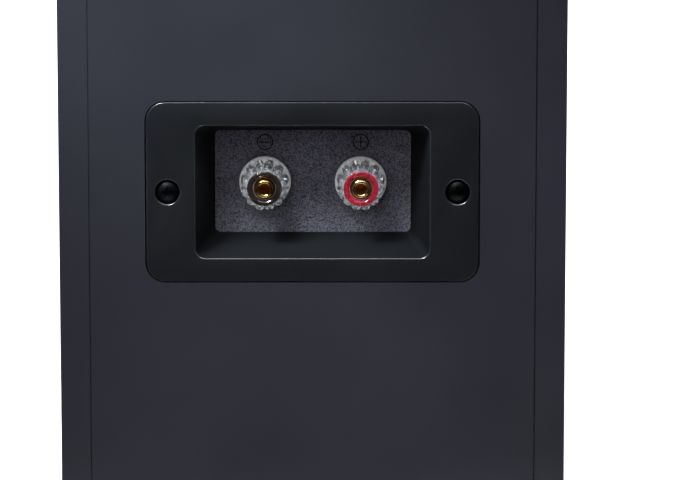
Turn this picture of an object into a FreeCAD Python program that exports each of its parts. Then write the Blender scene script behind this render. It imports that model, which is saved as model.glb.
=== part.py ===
import FreeCAD, Part
import math
import os
from types import SimpleNamespace

import Sketcher

# Rear-ported two-way bookshelf speaker. Millimetres, +Z up, front towards -Y.
# The origin is on the surface it stands on, at the middle of its width and depth.

Vector = FreeCAD.Vector
document = FreeCAD.newDocument("bookshelf_speaker")

SIZES = {
    # wrapped box
    "cabinet_width": 180, "cabinet_height": 326, "cabinet_depth": 216,
    "wall": 10.5, "rear_board": 12, "baffle_board": 15, "corner_round": 1.5,
    "baffle_round": 1.2, "seam": 0.5,
    "brace_board": 12, "brace_rim": 20, "brace_setback": 86, "brace_corner": 14,
    "block_side": 14, "block_inset": 20,
    "wadding_board": 15, "wadding_inset": 10, "wadding_margin": 24,
    "foot_height": 4, "foot_radius": 7.5, "foot_inset": 20,
    "socket_inset_side": 15, "socket_inset_end": 17,
    "socket_radius": 4.2, "socket_bore": 2.6, "socket_flange": 5.4,
    "socket_flange_board": 0.8, "socket_depth": 10,
    # rear port
    "port_height": 130, "port_flange_radius": 37, "port_flange_board": 2.5,
    "port_flare": 12, "port_bore": 20, "port_wall": 2, "port_collar": 12,
    "port_length": 98, "port_lip": 3,
    # terminal cup
    "cup_height": 118, "flange_width": 118, "flange_height": 64.4, "flange_corner": 6.8,
    "flange_board": 4, "flange_gap": 0.45, "mouth_width": 83.4, "mouth_height": 47.8,
    "mouth_corner": 3.6, "floor_width": 71, "floor_height": 37.6, "floor_corner": 2.4,
    "cup_depth": 25, "cup_wall": 2.2, "cutout_gap": 0.6, "gasket_board": 1,
    "cup_screw_spacing": 103, "cup_screw_head": 4.1, "cup_screw_bore": 4.45,
    "cup_screw_sink": 2.4, "cup_screw_radius": 1.9, "cup_screw_length": 9,
    # binding posts
    "post_spacing": 34.4, "post_radius": 3.2, "banana_bore": 2.1, "banana_depth": 15,
    "post_base_radius": 9.3, "post_base_board": 4, "post_neck": 4.4, "knob_gap": 0.4,
    "knob_radius": 8.8, "knob_length": 14, "knob_face": 7, "knob_chamfer": 2.4,
    "insert_radius": 3.9, "ring_outer": 6.3, "ring_board": 1.6, "thread_clearance": 0.08,
    "flute_radius": 1.5, "post_tip": 0.4, "insulator_radius": 6.5, "insulator_board": 2.4,
    "tag_board": 0.8, "tag_radius": 5.6, "tag_width": 6.3, "tag_length": 14, "nut_flats": 9, "nut_board": 3,
    "post_tail": 4,
    # woofer
    "woofer_height": 104, "woofer_flange": 72, "woofer_flange_board": 3,
    "woofer_rim": 16, "woofer_flange_gap": 0.4, "woofer_screw_edge": 5.5,
    "woofer_screw_radius": 1.9, "woofer_screw_head": 3.1, "woofer_screw_length": 14,
    "basket_sheet": 2, "spider_ledge": 27, "spider_seat": 34, "spider_rim": 38,
    "basket_depth": 38, "trim_overhang": 2, "trim_height": 4, "lip_width": 3,
    "surround_skin": 0.6, "surround_width": 9.5, "surround_roll": 3.3, "rim_width": 2.7,
    "cone_skin": 0.8, "cap_radius": 20, "cap_seat": 16, "cap_rise": 6.5, "cap_skin": 0.5,
    "former_radius": 12.75, "former_skin": 0.5, "neck_depth": 22.5, "neck_length": 1.5,
    "coil_skin": 0.5, "coil_height": 12, "coil_gap": 0.45, "spider_skin": 0.5,
    "spider_wave": 1.3, "plate_radius": 36, "plate_board": 5, "magnet_radius": 40,
    "magnet_board": 15, "magnet_bore": 20, "yoke_board": 6, "pole_radius": 12.3,
    "pole_vent": 4, "strip_width": 24, "strip_length": 16, "strip_board": 1.5,
    "tab_width": 4.8, "tab_board": 0.8, "tab_length": 7, "tab_spacing": 12,
    "tinsel_radius": 0.6,
    # tweeter
    "tweeter_height": 236, "faceplate_radius": 50, "faceplate_board": 3,
    "faceplate_gap": 0.35, "horn_mouth": 40, "horn_throat": 16.8, "horn_depth": 9.5,
    "horn_boss": 31, "dome_plane": 13, "dome_radius": 12.6, "dome_rise": 5.2,
    "dome_skin": 0.3, "dome_lip": 20, "dome_lip_board": 0.5, "dome_roll": 1.4,
    "tweeter_coil_skin": 0.35, "tweeter_coil_gap": 0.5, "tweeter_coil_height": 4,
    "tweeter_plate": 28, "tweeter_plate_board": 3, "tweeter_magnet": 32,
    "tweeter_magnet_bore": 17, "tweeter_magnet_board": 10, "tweeter_yoke_board": 4,
    "tweeter_pole": 11.9, "tweeter_pole_drop": 0.7, "tweeter_screw_circle": 45.2,
    "tweeter_screw_radius": 1.7, "tweeter_screw_head": 3.2, "tweeter_screw_sink": 2,
    "tweeter_screw_length": 13, "tweeter_hole_gap": 1,
    # crossover
    "board_width": 110, "board_length": 66, "board_sheet": 1.6, "board_lift": 6,
    "board_setback": 22, "pillar_radius": 3, "pillar_pin": 1.6, "pillar_head": 2.2,
    "pillar_inset": 5, "woofer_coil_radius": 18, "woofer_coil_core": 8,
    "woofer_coil_length": 18, "tweeter_coil_radius": 12, "tweeter_coil_core": 5,
    "tweeter_coil_length": 14, "bobbin_flange": 1.2, "capacitor_radius": 6.5,
    "capacitor_length": 27, "capacitor_gap": 3, "resistor_length": 25,
    "resistor_width": 10, "lead_radius": 1.1,
}

sheet = document.addObject("Spreadsheet::Sheet", "Sizes")
for row, (alias, value) in enumerate(SIZES.items(), start=1):
    sheet.set(f"A{row}", alias)
    sheet.set(f"B{row}", str(value))
    sheet.setAlias(f"B{row}", alias)
document.recompute()


class Size:
    """A number together with the spreadsheet expression that gives it."""

    def __init__(self, number, text):
        self.number = number
        self.text = text

    def join(self, sign, other, number):
        return Size(number, f"({self.text} {sign} {as_size(other).text})")

    def __add__(self, other):
        return self.join("+", other, self.number + as_size(other).number)

    def __sub__(self, other):
        return self.join("-", other, self.number - as_size(other).number)

    def __mul__(self, other):
        return self.join("*", other, self.number * as_size(other).number)

    def __truediv__(self, other):
        return self.join("/", other, self.number / as_size(other).number)

    def __neg__(self):
        return self * -1

    def __radd__(self, other):
        return as_size(other) + self

    def __rsub__(self, other):
        return as_size(other) - self

    def __rmul__(self, other):
        return as_size(other) * self


def root(value):
    return Size(math.sqrt(value.number), f"sqrt({value.text})")


def as_size(value):
    return value if isinstance(value, Size) else Size(float(value), f"({float(value)})")


size = SimpleNamespace(**{
    alias: Size(float(value), f"Sizes.{alias}") for alias, value in SIZES.items()})

# Faces and centres that several pieces share
half_width = size.cabinet_width / 2
inner_half = half_width - size.wall
bottom_z = size.foot_height
top_z = size.foot_height + size.cabinet_height
inside_bottom_z = bottom_z + size.wall
inside_top_z = top_z - size.wall
front_y = (size.trim_height - size.cabinet_depth) / 2
rear_y = (size.trim_height + size.cabinet_depth) / 2
inside_rear_y = rear_y - size.rear_board
brace_rear_y = front_y + size.brace_setback + size.brace_board
cup_z = bottom_z + size.cup_height
port_z = cup_z + size.port_height
woofer_z = bottom_z + size.woofer_height
tweeter_z = bottom_z + size.tweeter_height
woofer_mouth = size.woofer_flange - size.woofer_rim
woofer_screw_circle = size.woofer_flange - size.woofer_screw_edge
trim_radius = size.woofer_flange + size.trim_overhang
lip_radius = woofer_mouth + size.lip_width
surround_inner = woofer_mouth - size.surround_width

UPRIGHT = FreeCAD.Rotation()
FACING_FRONT = FreeCAD.Rotation(Vector(1, 0, 0), Vector(0, 0, 1), Vector(0, -1, 0), "XYZ")
FACING_REAR = FreeCAD.Rotation(Vector(-1, 0, 0), Vector(0, 0, 1), Vector(0, 1, 0), "XYZ")
DIAGONAL = math.sqrt(0.5)
WINDOW_SHARE = 29 / 45  # of the basket wall's slope that its windows open


class Via:
    """A point that an arc of an outline passes through."""

    def __init__(self, across, along):
        self.across = across
        self.along = along


# ---------------------------------------------------------------- drawing helpers

pieces = []


def bind(item, name, value):
    item.setExpression(name, as_size(value).text)


def new_body(name, turn=UPRIGHT, place=(0, 0, 0)):
    body = document.addObject("PartDesign::Body", name)
    body.Label = name
    body.AllowCompound = True
    body.Placement = FreeCAD.Placement(Vector(0, 0, 0), turn)
    for axis, value in zip("xyz", place):
        bind(body, f".Placement.Base.{axis}", value)
    pieces.append(body)
    return body


def origin_feature(body, role):
    return next(item for item in body.Origin.OriginFeatures if item.Role == role)


def new_sketch(body, plane, lift=0, shift=0):
    sketch = body.newObject("Sketcher::SketchObject", body.Name + "_sketch")
    sketch.AttachmentSupport = [(origin_feature(body, plane), "")]
    sketch.MapMode = "FlatFace"
    bind(sketch, "AttachmentOffset.Base.z", lift)
    bind(sketch, "AttachmentOffset.Base.x", shift)
    return sketch


def fix_point(sketch, geometry, position, across, along):
    """Dimension a point from the sketch's origin."""
    for kind, value in (("DistanceX", across), ("DistanceY", along)):
        value = as_size(value)
        index = sketch.addConstraint(
            Sketcher.Constraint(kind, -1, 1, geometry, position, value.number))
        bind(sketch, f"Constraints[{index}]", value)


def draw_circle(sketch, radius, across=0, along=0):
    radius, across, along = as_size(radius), as_size(across), as_size(along)
    centre = Vector(across.number, along.number, 0)
    index = sketch.addGeometry(Part.Circle(centre, Vector(0, 0, 1), radius.number), False)
    fix_point(sketch, index, 3, across, along)
    limit = sketch.addConstraint(Sketcher.Constraint("Radius", index, radius.number))
    bind(sketch, f"Constraints[{limit}]", radius)


def flat(point):
    if isinstance(point, Via):
        point = (point.across, point.along)
    return Vector(as_size(point[0]).number, as_size(point[1]).number, 0)


def draw_outline(sketch, path):
    """Closed outline of corners, with an arc through each Via between two corners."""
    corners = [item for item in path if not isinstance(item, Via)]
    ends = []
    for index, corner in enumerate(corners):
        after = corners[(index + 1) % len(corners)]
        place = path.index(corner)
        via = path[(place + 1) % len(path)]
        if isinstance(via, Via):
            start, middle, stop = flat(corner), flat(via), flat(after)
            edge = sketch.addGeometry(Part.Arc(start, middle, stop), False)
            leftward = (middle - start).cross(stop - start).z > 0
            ends.append((edge, 1, 2) if leftward else (edge, 2, 1))
            point = sketch.addGeometry(Part.Point(middle), True)
            sketch.addConstraint(Sketcher.Constraint("PointOnObject", point, 1, edge))
            fix_point(sketch, point, 1, via.across, via.along)
        else:
            line = Part.LineSegment(flat(corner), flat(after))
            ends.append((sketch.addGeometry(line, False), 1, 2))
    for index, corner in enumerate(corners):
        before, here = ends[index - 1], ends[index]
        sketch.addConstraint(
            Sketcher.Constraint("Coincident", before[0], before[2], here[0], here[1]))
        fix_point(sketch, here[0], here[1], corner[0], corner[1])


def rectangle(left, low, right, high):
    return [(left, low), (right, low), (right, high), (left, high)]


def rounded_rectangle(width, height, corner, along=0):
    """Rectangle about (0, along) whose four corners are quarter circles."""
    path = []
    inset = corner * (1 - DIAGONAL)
    for x_sign, y_sign in ((1, -1), (1, 1), (-1, 1), (-1, -1)):
        side, end = width / 2 * x_sign, height / 2 * y_sign + along
        on_end = (side - corner * x_sign, end)
        on_side = (side, end - corner * y_sign)
        via = Via(side - inset * x_sign, end - inset * y_sign)
        first, last = (on_end, on_side) if x_sign * y_sign < 0 else (on_side, on_end)
        path += [first, via, last]
    return path


def cap_arc(radius, level, rise):
    """Arc of a sphere centred on the axis, from (radius, level) up to the axis."""
    sphere = (radius * radius + rise * rise) / (rise * 2)
    drop = sphere - root(sphere * sphere - radius * radius / 4)
    return [(radius, level), Via(radius / 2, level + rise - drop), (0, level + rise)]


def dome_outline(radius, level, rise, skin):
    """Section of a thin spherical dome with an even wall."""
    sphere = (radius * radius + rise * rise) / (rise * 2)
    hollow, below = sphere - skin, sphere - rise
    inner = root(hollow * hollow - below * below)
    return cap_arc(radius, level, rise) + cap_arc(inner, level, rise - skin)[::-1]


def hexagon(flats, across=0, along=0):
    reach = flats / math.sqrt(3)
    return [(across + reach * math.cos(math.radians(60 * turn)),
             along + reach * math.sin(math.radians(60 * turn))) for turn in range(6)]


def cross(length, width, across=0, along=0):
    """Outline of a cross recess."""
    far, near = length / 2, width / 2
    steps = [(far, -near), (far, near), (near, near), (near, far), (-near, far),
             (-near, near), (-far, near), (-far, -near), (-near, -near), (-near, -far),
             (near, -far), (near, -near)]
    return [(across + x, along + y) for x, y in steps]


def polar(radius, degrees):
    angle = math.radians(degrees)
    return radius * math.cos(angle), radius * math.sin(angle)


def sector(inner, outer, middle, half):
    """Window outline between two radii and two angles."""
    return [polar(inner, middle - half), polar(outer, middle - half),
            Via(*polar(outer, middle)), polar(outer, middle + half),
            polar(inner, middle + half), Via(*polar(inner, middle))]


def pad(body, path, low, high):
    """Raise an outline between two heights of the body."""
    sketch = new_sketch(body, "XY_Plane", low)
    draw_outline(sketch, path)
    feature = body.newObject("PartDesign::Pad", body.Name + "_pad")
    feature.Profile = sketch
    bind(feature, "Length", high - low)
    return feature


def pad_circle(body, radius, low, high, across=0, along=0):
    sketch = new_sketch(body, "XY_Plane", low)
    draw_circle(sketch, radius, across, along)
    feature = body.newObject("PartDesign::Pad", body.Name + "_pad")
    feature.Profile = sketch
    bind(feature, "Length", high - low)
    return feature


def cut(body, path, high, depth):
    """Sink an outline from a height of the body."""
    sketch = new_sketch(body, "XY_Plane", high)
    draw_outline(sketch, path)
    return sink(body, sketch, depth)


def drill(body, radius, high, depth, across=0, along=0):
    sketch = new_sketch(body, "XY_Plane", high)
    draw_circle(sketch, radius, across, along)
    return sink(body, sketch, depth)


def sink(body, sketch, depth):
    feature = body.newObject("PartDesign::Pocket", body.Name + "_pocket")
    feature.Profile = sketch
    bind(feature, "Length", depth)
    return feature


def turn(body, path, across=0, along=0):
    """Revolve an outline of (radius, height) about an axis along the body's Z."""
    sketch = new_sketch(body, "XZ_Plane", -as_size(along), across)
    draw_outline(sketch, path)
    feature = body.newObject("PartDesign::Revolution", body.Name + "_turn")
    feature.Profile = sketch
    feature.ReferenceAxis = (sketch, ["V_Axis"])
    feature.Angle = 360
    return feature


def around(body, features, count):
    """Repeat features evenly about the body's Z."""
    pattern = body.newObject("PartDesign::PolarPattern", body.Name + "_around")
    pattern.Originals = features
    pattern.Axis = (origin_feature(body, "Z_Axis"), [""])
    pattern.Angle = 360
    pattern.Occurrences = count
    body.Tip = pattern
    return pattern


def loft(body, kind, low_path, low, high_path, high):
    """Straight-walled taper between two outlines."""
    sketches = []
    for path, lift in ((low_path, low), (high_path, high)):
        sketches.append(new_sketch(body, "XY_Plane", lift))
        draw_outline(sketches[-1], path)
    feature = body.newObject(f"PartDesign::{kind}Loft", body.Name + "_loft")
    feature.Profile = sketches[0]
    feature.Sections = [sketches[1]]
    feature.Ruled = True
    return feature


def soften(body, kind, height, length):
    """Fillet or chamfer the outer edges that lie at a height of the body."""
    document.recompute()
    base = body.Tip
    level = as_size(height).number
    names = [f"Edge{number}" for number, edge in enumerate(base.Shape.Edges, start=1)
             if all(abs(vertex.Z - level) < 0.001 for vertex in edge.Vertexes)]
    feature = body.newObject(f"PartDesign::{kind}", body.Name + "_edge")
    feature.Base = (base, names)
    bind(feature, "Radius" if kind == "Fillet" else "Size", length)
    return feature


# ---------------------------------------------------------------- cabinet


def mitred_wall(name, length, place):
    """A board of the folded wrap: place(sunk, run) gives a point of its end outline."""
    wall, corner = size.wall, size.corner_round
    mitre = corner * (1 - DIAGONAL)
    over = corner * (1 - math.cos(math.radians(22.5)))
    along = corner * (1 - math.sin(math.radians(22.5)))
    path = [place(wall, wall), place(wall, length - wall), place(mitre, length - mitre),
            Via(*place(over, length - along)), place(0, length - corner),
            place(0, corner), Via(*place(over, along)), place(mitre, mitre)]
    body = new_body(name, FACING_FRONT, (0, front_y, 0))
    pad(body, path, -size.cabinet_depth, -size.baffle_board)


def walls():
    mitred_wall("side_panel_right", size.cabinet_height,
                lambda sunk, run: (half_width - sunk, bottom_z + run))
    mitred_wall("side_panel_left", size.cabinet_height,
                lambda sunk, run: (sunk - half_width, bottom_z + run))
    mitred_wall("top_panel", size.cabinet_width,
                lambda sunk, run: (run - half_width, top_z - sunk))
    mitred_wall("bottom_panel", size.cabinet_width,
                lambda sunk, run: (run - half_width, bottom_z + sunk))


def socket_places():
    side = half_width - size.socket_inset_side
    for x_sign in (-1, 1):
        yield side * x_sign, bottom_z + size.socket_inset_end
        yield side * x_sign, top_z - size.socket_inset_end


def front_baffle():
    body = new_body("front_baffle", FACING_FRONT, (0, front_y, 0))
    middle = (bottom_z + top_z) / 2
    board = rounded_rectangle(size.cabinet_width, size.cabinet_height,
                              size.corner_round, middle)
    pad(body, board, -size.baffle_board, 0)
    soften(body, "Fillet", 0, size.baffle_round)
    drill(body, size.woofer_flange + size.woofer_flange_gap, 0,
          size.woofer_flange_board, 0, woofer_z)
    drill(body, woofer_mouth + size.basket_sheet * 2, 0, size.baffle_board, 0, woofer_z)
    drill(body, size.faceplate_radius + size.faceplate_gap, 0,
          size.faceplate_board, 0, tweeter_z)
    drill(body, size.tweeter_magnet + size.tweeter_hole_gap, 0,
          size.baffle_board, 0, tweeter_z)
    for across, along in socket_places():
        drill(body, size.socket_radius, 0, size.socket_depth, across, along)
    for count, circle, radius, length, height in (
            (6, woofer_screw_circle, size.woofer_screw_radius,
             size.woofer_screw_length, woofer_z),
            (4, size.tweeter_screw_circle, size.tweeter_screw_radius,
             size.tweeter_screw_length, tweeter_z)):
        for across, along in circle_places(circle, count):
            drill(body, radius, 0, length, across, height + along)


def circle_places(radius, count):
    """Evenly spaced screw places, starting half a step round from the side."""
    for index in range(count):
        angle = math.radians(360 / count * (index + 0.5))
        yield radius * round(math.cos(angle), 9), radius * round(math.sin(angle), 9)


def rear_panel():
    body = new_body("rear_panel", FACING_REAR, (0, rear_y, 0))
    board = rectangle(-inner_half, inside_bottom_z, inner_half, inside_top_z)
    pad(body, board, -size.rear_board, 0)
    soften(body, "Chamfer", 0, size.seam)
    rebate = rounded_rectangle(size.flange_width + size.flange_gap * 2,
                               size.flange_height + size.flange_gap * 2,
                               size.flange_corner + size.flange_gap, cup_z)
    cut(body, rebate, 0, size.flange_board + size.gasket_board)
    cut(body, cutout_outline(cup_z), 0, size.rear_board)
    for side in (-1, 1):
        drill(body, size.cup_screw_radius, 0, size.cup_screw_sink + size.cup_screw_length,
              size.cup_screw_spacing / 2 * side, cup_z)
    drill(body, size.port_flange_radius + size.flange_gap, 0,
          size.port_flange_board, 0, port_z)
    drill(body, port_throat_radius(), 0, size.rear_board, 0, port_z)


def cutout_outline(height=0):
    """Hole in the rear panel and gasket that the cup's body passes through."""
    grow = (size.cup_wall + size.cutout_gap) * 2
    return rounded_rectangle(size.mouth_width + grow, size.mouth_height + grow,
                             size.mouth_corner + size.cup_wall, height)


def port_throat_radius():
    return size.port_bore + size.port_flare + size.cutout_gap


def window_brace():
    body = new_body("window_brace", FACING_FRONT, (0, front_y, 0))
    rear = -(size.brace_setback + size.brace_board)
    pad(body, rectangle(-inner_half, inside_bottom_z, inner_half, inside_top_z),
        rear, -size.brace_setback)
    middle = (inside_bottom_z + inside_top_z) / 2
    window = rounded_rectangle((inner_half - size.brace_rim) * 2,
                               inside_top_z - inside_bottom_z - size.brace_rim * 2,
                               size.brace_corner, middle)
    cut(body, window, -size.brace_setback, size.brace_board)


def corner_blocks():
    body = new_body("corner_blocks")
    for side in (-1, 1):
        wall_x = inner_half * side
        batten = rectangle(wall_x - size.block_side * side, inside_rear_y - size.block_side,
                           wall_x, inside_rear_y)
        pad(body, batten, inside_bottom_z + size.block_inset,
            inside_top_z - size.block_inset)


def damping_wadding():
    body = new_body("damping_wadding")
    front = brace_rear_y + size.wadding_inset
    rear = inside_rear_y - size.block_side - size.wadding_inset
    for side in (-1, 1):
        wall_x = inner_half * side
        batt = rectangle(wall_x - size.wadding_board * side, front, wall_x, rear)
        pad(body, batt, inside_bottom_z + size.wadding_margin,
            inside_top_z - size.wadding_margin)


def rubber_feet():
    body = new_body("rubber_feet")
    radius, height = size.foot_radius, size.foot_height
    profile = [(0, 0), (radius - 2, 0), Via(radius - 1.2, 0.3), (radius - 0.9, 1.1),
               (radius, height), (0, height)]
    for x_sign in (-1, 1):
        for depth in (front_y + size.foot_inset, rear_y - size.foot_inset):
            turn(body, profile, (half_width - size.foot_inset) * x_sign, depth)


def grille_sockets():
    body = new_body("grille_sockets", FACING_FRONT, (0, front_y, 0))
    sleeve, bore, board = size.socket_radius, size.socket_bore, size.socket_flange_board
    profile = [(bore, -size.socket_depth), (sleeve, -size.socket_depth), (sleeve, 0),
               (size.socket_flange, 0), (size.socket_flange - 0.4, board),
               (bore + 0.5, board), (bore, board - 0.5)]
    for across, along in socket_places():
        turn(body, profile, across, along)


# ---------------------------------------------------------------- rear port


def port():
    place = (0, rear_y, port_z)
    bore, flare, board = size.port_bore, size.port_flare, size.port_flange_board
    tube = bore + size.port_wall
    collar = tube + size.port_wall
    shoulder = flare + size.port_wall * 2
    mouth = bore + flare
    inset = flare * (1 - DIAGONAL)
    body = new_body("port_flare", FACING_REAR, place)
    turn(body, [(mouth, 0), Via(bore + inset, -inset), (bore, -flare), (bore, -shoulder),
                (tube, -shoulder), (tube, -shoulder - size.port_collar),
                (collar, -shoulder - size.port_collar), (collar, -flare),
                (mouth, -board), (size.port_flange_radius, -board),
                (size.port_flange_radius, -0.6), (size.port_flange_radius - 0.6, 0)])
    body = new_body("port_tube", FACING_REAR, place)
    length, lip = size.port_length, size.port_lip
    turn(body, [(bore, -shoulder), (bore, -length + lip), (bore + lip, -length),
                (tube + lip, -length), (tube, -length + lip), (tube, -shoulder)])


# ---------------------------------------------------------------- terminal cup


def terminal_cup():
    body = new_body("terminal_cup", FACING_REAR, (0, rear_y, cup_z))
    wall = size.cup_wall * 2
    pad(body, rounded_rectangle(size.flange_width, size.flange_height,
                                size.flange_corner), -size.flange_board, 0)
    soften(body, "Fillet", 0, 0.6)
    loft(body, "Additive",
         rounded_rectangle(size.mouth_width + wall, size.mouth_height + wall,
                           size.mouth_corner + size.cup_wall), -size.flange_board,
         rounded_rectangle(size.floor_width + wall, size.floor_height + wall,
                           size.floor_corner + size.cup_wall),
         -size.cup_depth - size.cup_wall)
    loft(body, "Subtractive",
         rounded_rectangle(size.mouth_width, size.mouth_height, size.mouth_corner), 0,
         rounded_rectangle(size.floor_width, size.floor_height, size.floor_corner),
         -size.cup_depth)
    for side in (-1, 1):
        drill(body, size.post_neck, 0, size.cup_depth + size.cup_wall,
              size.post_spacing / 2 * side)
        drill(body, size.cup_screw_bore, 0, size.cup_screw_sink,
              size.cup_screw_spacing / 2 * side)
        drill(body, size.cup_screw_radius, 0, size.flange_board,
              size.cup_screw_spacing / 2 * side)


def cup_gasket():
    body = new_body("cup_gasket", FACING_REAR, (0, rear_y, cup_z))
    rear = -(size.flange_board + size.gasket_board)
    pad(body, rounded_rectangle(size.flange_width, size.flange_height,
                                size.flange_corner), rear, -size.flange_board)
    cut(body, cutout_outline(), -size.flange_board, size.gasket_board)
    for side in (-1, 1):
        drill(body, size.cup_screw_radius, -size.flange_board, size.gasket_board,
              size.cup_screw_spacing / 2 * side)


def cup_screws():
    body = new_body("cup_screws", FACING_REAR, (0, rear_y, cup_z))
    head, shank, seat = size.cup_screw_head, size.cup_screw_radius, -size.cup_screw_sink
    tip = seat - size.cup_screw_length
    profile = [(0, tip), (shank - 0.8, tip), (shank, tip + 1.6), (shank, seat),
               (head, seat)] + cap_arc(head, seat + 1, as_size(1.3))
    for side in (-1, 1):
        turn(body, profile, size.cup_screw_spacing / 2 * side)
    for side in (-1, 1):
        cut(body, cross(4.6, 0.9, size.cup_screw_spacing / 2 * side), seat + 2.3, 1.5)


# ---------------------------------------------------------------- binding posts


def binding_posts():
    base_top = size.post_base_board
    low = base_top + size.knob_gap
    high = low + size.knob_length
    for pole, side in (("positive", -1), ("negative", 1)):
        place = (size.post_spacing / 2 * side, rear_y - size.cup_depth, cup_z)
        post(pole, place, high)
        knob(pole, place, low, high)
        polarity_ring(pole, place, high)


def post_tail():
    return (size.cup_wall + size.insulator_board + size.tag_board + size.nut_board
            + size.post_tail)


def post(pole, place, high):
    body = new_body("post_" + pole, FACING_REAR, place)
    radius, bore, tail = size.post_radius, size.banana_bore, -post_tail()
    tip = high + size.post_tip
    turn(body, [(0, tail), (radius - 0.5, tail), (radius, tail + 0.5), (radius, tip - 0.3),
                (radius - 0.3, tip), (bore + 0.3, tip), (bore, tip - 0.3),
                (bore, tip - size.banana_depth), (0, tip - size.banana_depth - 1.2)])


def knob(pole, place, low, high):
    """Fluted clear cap with the threaded sleeve that it is moulded round."""
    body = new_body("knob_" + pole, FACING_REAR, place)
    outer, face = size.knob_radius, size.knob_face
    bore, ring, step = size.insert_radius, size.ring_outer, high - size.ring_board
    shoulder = high - size.knob_chamfer
    turn(body, [(bore, low), (outer - 0.5, low), (outer, low + 0.5),
                (outer - 0.5, shoulder), (face, high), (ring, high), (ring, step),
                (bore, step)])
    flute = drill(body, size.flute_radius, shoulder, size.knob_length - size.knob_chamfer,
                  outer + size.flute_radius * 0.45)
    around(body, [flute], 12)
    body = new_body("knob_insert_" + pole, FACING_REAR, place)
    turn(body, [(size.post_radius + size.thread_clearance, low), (bore, low),
                (bore, step), (size.post_radius + size.thread_clearance, step)])


def polarity_ring(pole, place, high):
    body = new_body("polarity_ring_" + pole, FACING_REAR, place)
    gap = size.thread_clearance
    inner, outer = size.insert_radius, size.ring_outer - gap
    low, top = high - size.ring_board + gap, high - gap
    turn(body, [(inner, low), (outer, low), (outer, top), (inner, top)])


def post_hardware():
    """What holds the posts in the cup floor, both sides of it."""
    place = (0, rear_y - size.cup_depth, cup_z)
    radius, floor = size.post_radius, -size.cup_wall
    washer = floor - size.insulator_board
    tag = washer - size.tag_board
    bases = new_body("post_bases", FACING_REAR, place)
    insulators = new_body("rear_insulators", FACING_REAR, place)
    tags = new_body("solder_tags", FACING_REAR, place)
    nuts = new_body("post_nuts", FACING_REAR, place)
    for side in (-1, 1):
        across = size.post_spacing / 2 * side
        turn(bases, [(radius, floor), (size.post_neck, floor), (size.post_neck, 0),
                     (size.post_base_radius, 0),
                     (size.post_base_radius, size.post_base_board - 0.6),
                     (size.post_base_radius - 0.6, size.post_base_board),
                     (radius, size.post_base_board)], across)
        turn(insulators, [(radius, washer), (size.insulator_radius, washer),
                          (size.insulator_radius, floor), (radius, floor)], across)
        half = size.tag_width / 2
        pad_circle(tags, size.tag_radius, tag, washer, across)
        pad(tags, rectangle(across - half, -size.tag_length, across + half, 0),
            tag, washer)
        drill(tags, radius, washer, size.tag_board, across)
        pad(nuts, hexagon(size.nut_flats, across), tag - size.nut_board, tag)
        drill(nuts, radius, tag, size.nut_board, across)


# ---------------------------------------------------------------- woofer


def woofer_frame():
    place = (0, front_y, woofer_z)
    mouth, skin, flange = woofer_mouth, size.basket_sheet, size.woofer_flange
    ledge, seat, rim, depth = (size.spider_ledge, size.spider_seat, size.spider_rim,
                               size.basket_depth)
    board = size.woofer_flange_board
    bore = size.former_radius + size.former_skin + size.coil_skin + size.coil_gap
    basket = new_body("woofer_basket", FACING_FRONT, place)
    turn(basket, [(flange, 0), (flange, -board), (mouth + skin, -board),
                  (rim + skin * 2, -ledge - skin), (seat + skin, -ledge - skin),
                  (seat + skin, -depth - skin), (bore, -depth - skin), (bore, -depth),
                  (seat, -depth), (seat, -ledge), (rim + skin, -ledge), (mouth, -skin),
                  (mouth, 0)])
    window_start = rim + skin * 2.2
    window_end = window_start + (mouth - rim) * WINDOW_SHARE
    window = cut(basket, sector(window_start, window_end, 30, 21), -board, ledge)
    around(basket, [window], 6)
    for across, along in circle_places(woofer_screw_circle, 6):
        drill(basket, size.woofer_screw_radius, 0, board, across, along)

    trim = new_body("woofer_trim_ring", FACING_FRONT, place)
    lip, outer, height = lip_radius, trim_radius, size.trim_height
    inner_round, outer_round = as_size(2.2), as_size(3)
    inner_inset, outer_inset = inner_round * (1 - DIAGONAL), outer_round * (1 - DIAGONAL)
    turn(trim, [(lip, 0), (lip, height - inner_round),
                Via(lip + inner_inset, height - inner_inset), (lip + inner_round, height),
                (outer - outer_round, height),
                Via(outer - outer_inset, height - outer_inset),
                (outer, height - outer_round), (outer, 0)])
    for across, along in circle_places(woofer_screw_circle, 6):
        drill(trim, size.woofer_screw_head + 0.2, height, height - 1.2, across, along)
        drill(trim, size.woofer_screw_radius, height, height, across, along)

    screws = new_body("woofer_screws", FACING_FRONT, place)
    head, shank = size.woofer_screw_head, size.woofer_screw_radius
    profile = [(0, -size.woofer_screw_length), (shank - 0.9, -size.woofer_screw_length),
               (shank, -size.woofer_screw_length + 2), (shank, 1.2), (head, 1.2),
               (head, height - 0.9), (head - 0.4, height - 0.5), (0, height - 0.5)]
    for across, along in circle_places(woofer_screw_circle, 6):
        turn(screws, profile, across, along)
        cut(screws, hexagon(as_size(2.5), across, along), height - 0.5, 1.6)


def woofer_motor():
    place = (0, front_y, woofer_z)
    front = -size.basket_depth - size.basket_sheet
    middle = front - size.plate_board
    back = middle - size.magnet_board
    bore = size.former_radius + size.former_skin + size.coil_skin + size.coil_gap
    plate = new_body("woofer_top_plate", FACING_FRONT, place)
    turn(plate, rectangle(bore, middle, size.plate_radius, front))
    magnet = new_body("woofer_magnet", FACING_FRONT, place)
    turn(magnet, [(size.magnet_bore, back), (size.magnet_radius - 1, back),
                  (size.magnet_radius, back + 1), (size.magnet_radius, middle - 1),
                  (size.magnet_radius - 1, middle), (size.magnet_bore, middle)])
    yoke = new_body("woofer_yoke", FACING_FRONT, place)
    turn(yoke, [(size.pole_vent, back - size.yoke_board),
                (size.plate_radius - 1, back - size.yoke_board),
                (size.plate_radius, back - size.yoke_board + 1), (size.plate_radius, back),
                (size.pole_radius, back), (size.pole_radius, front),
                (size.pole_vent, front)])


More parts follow.
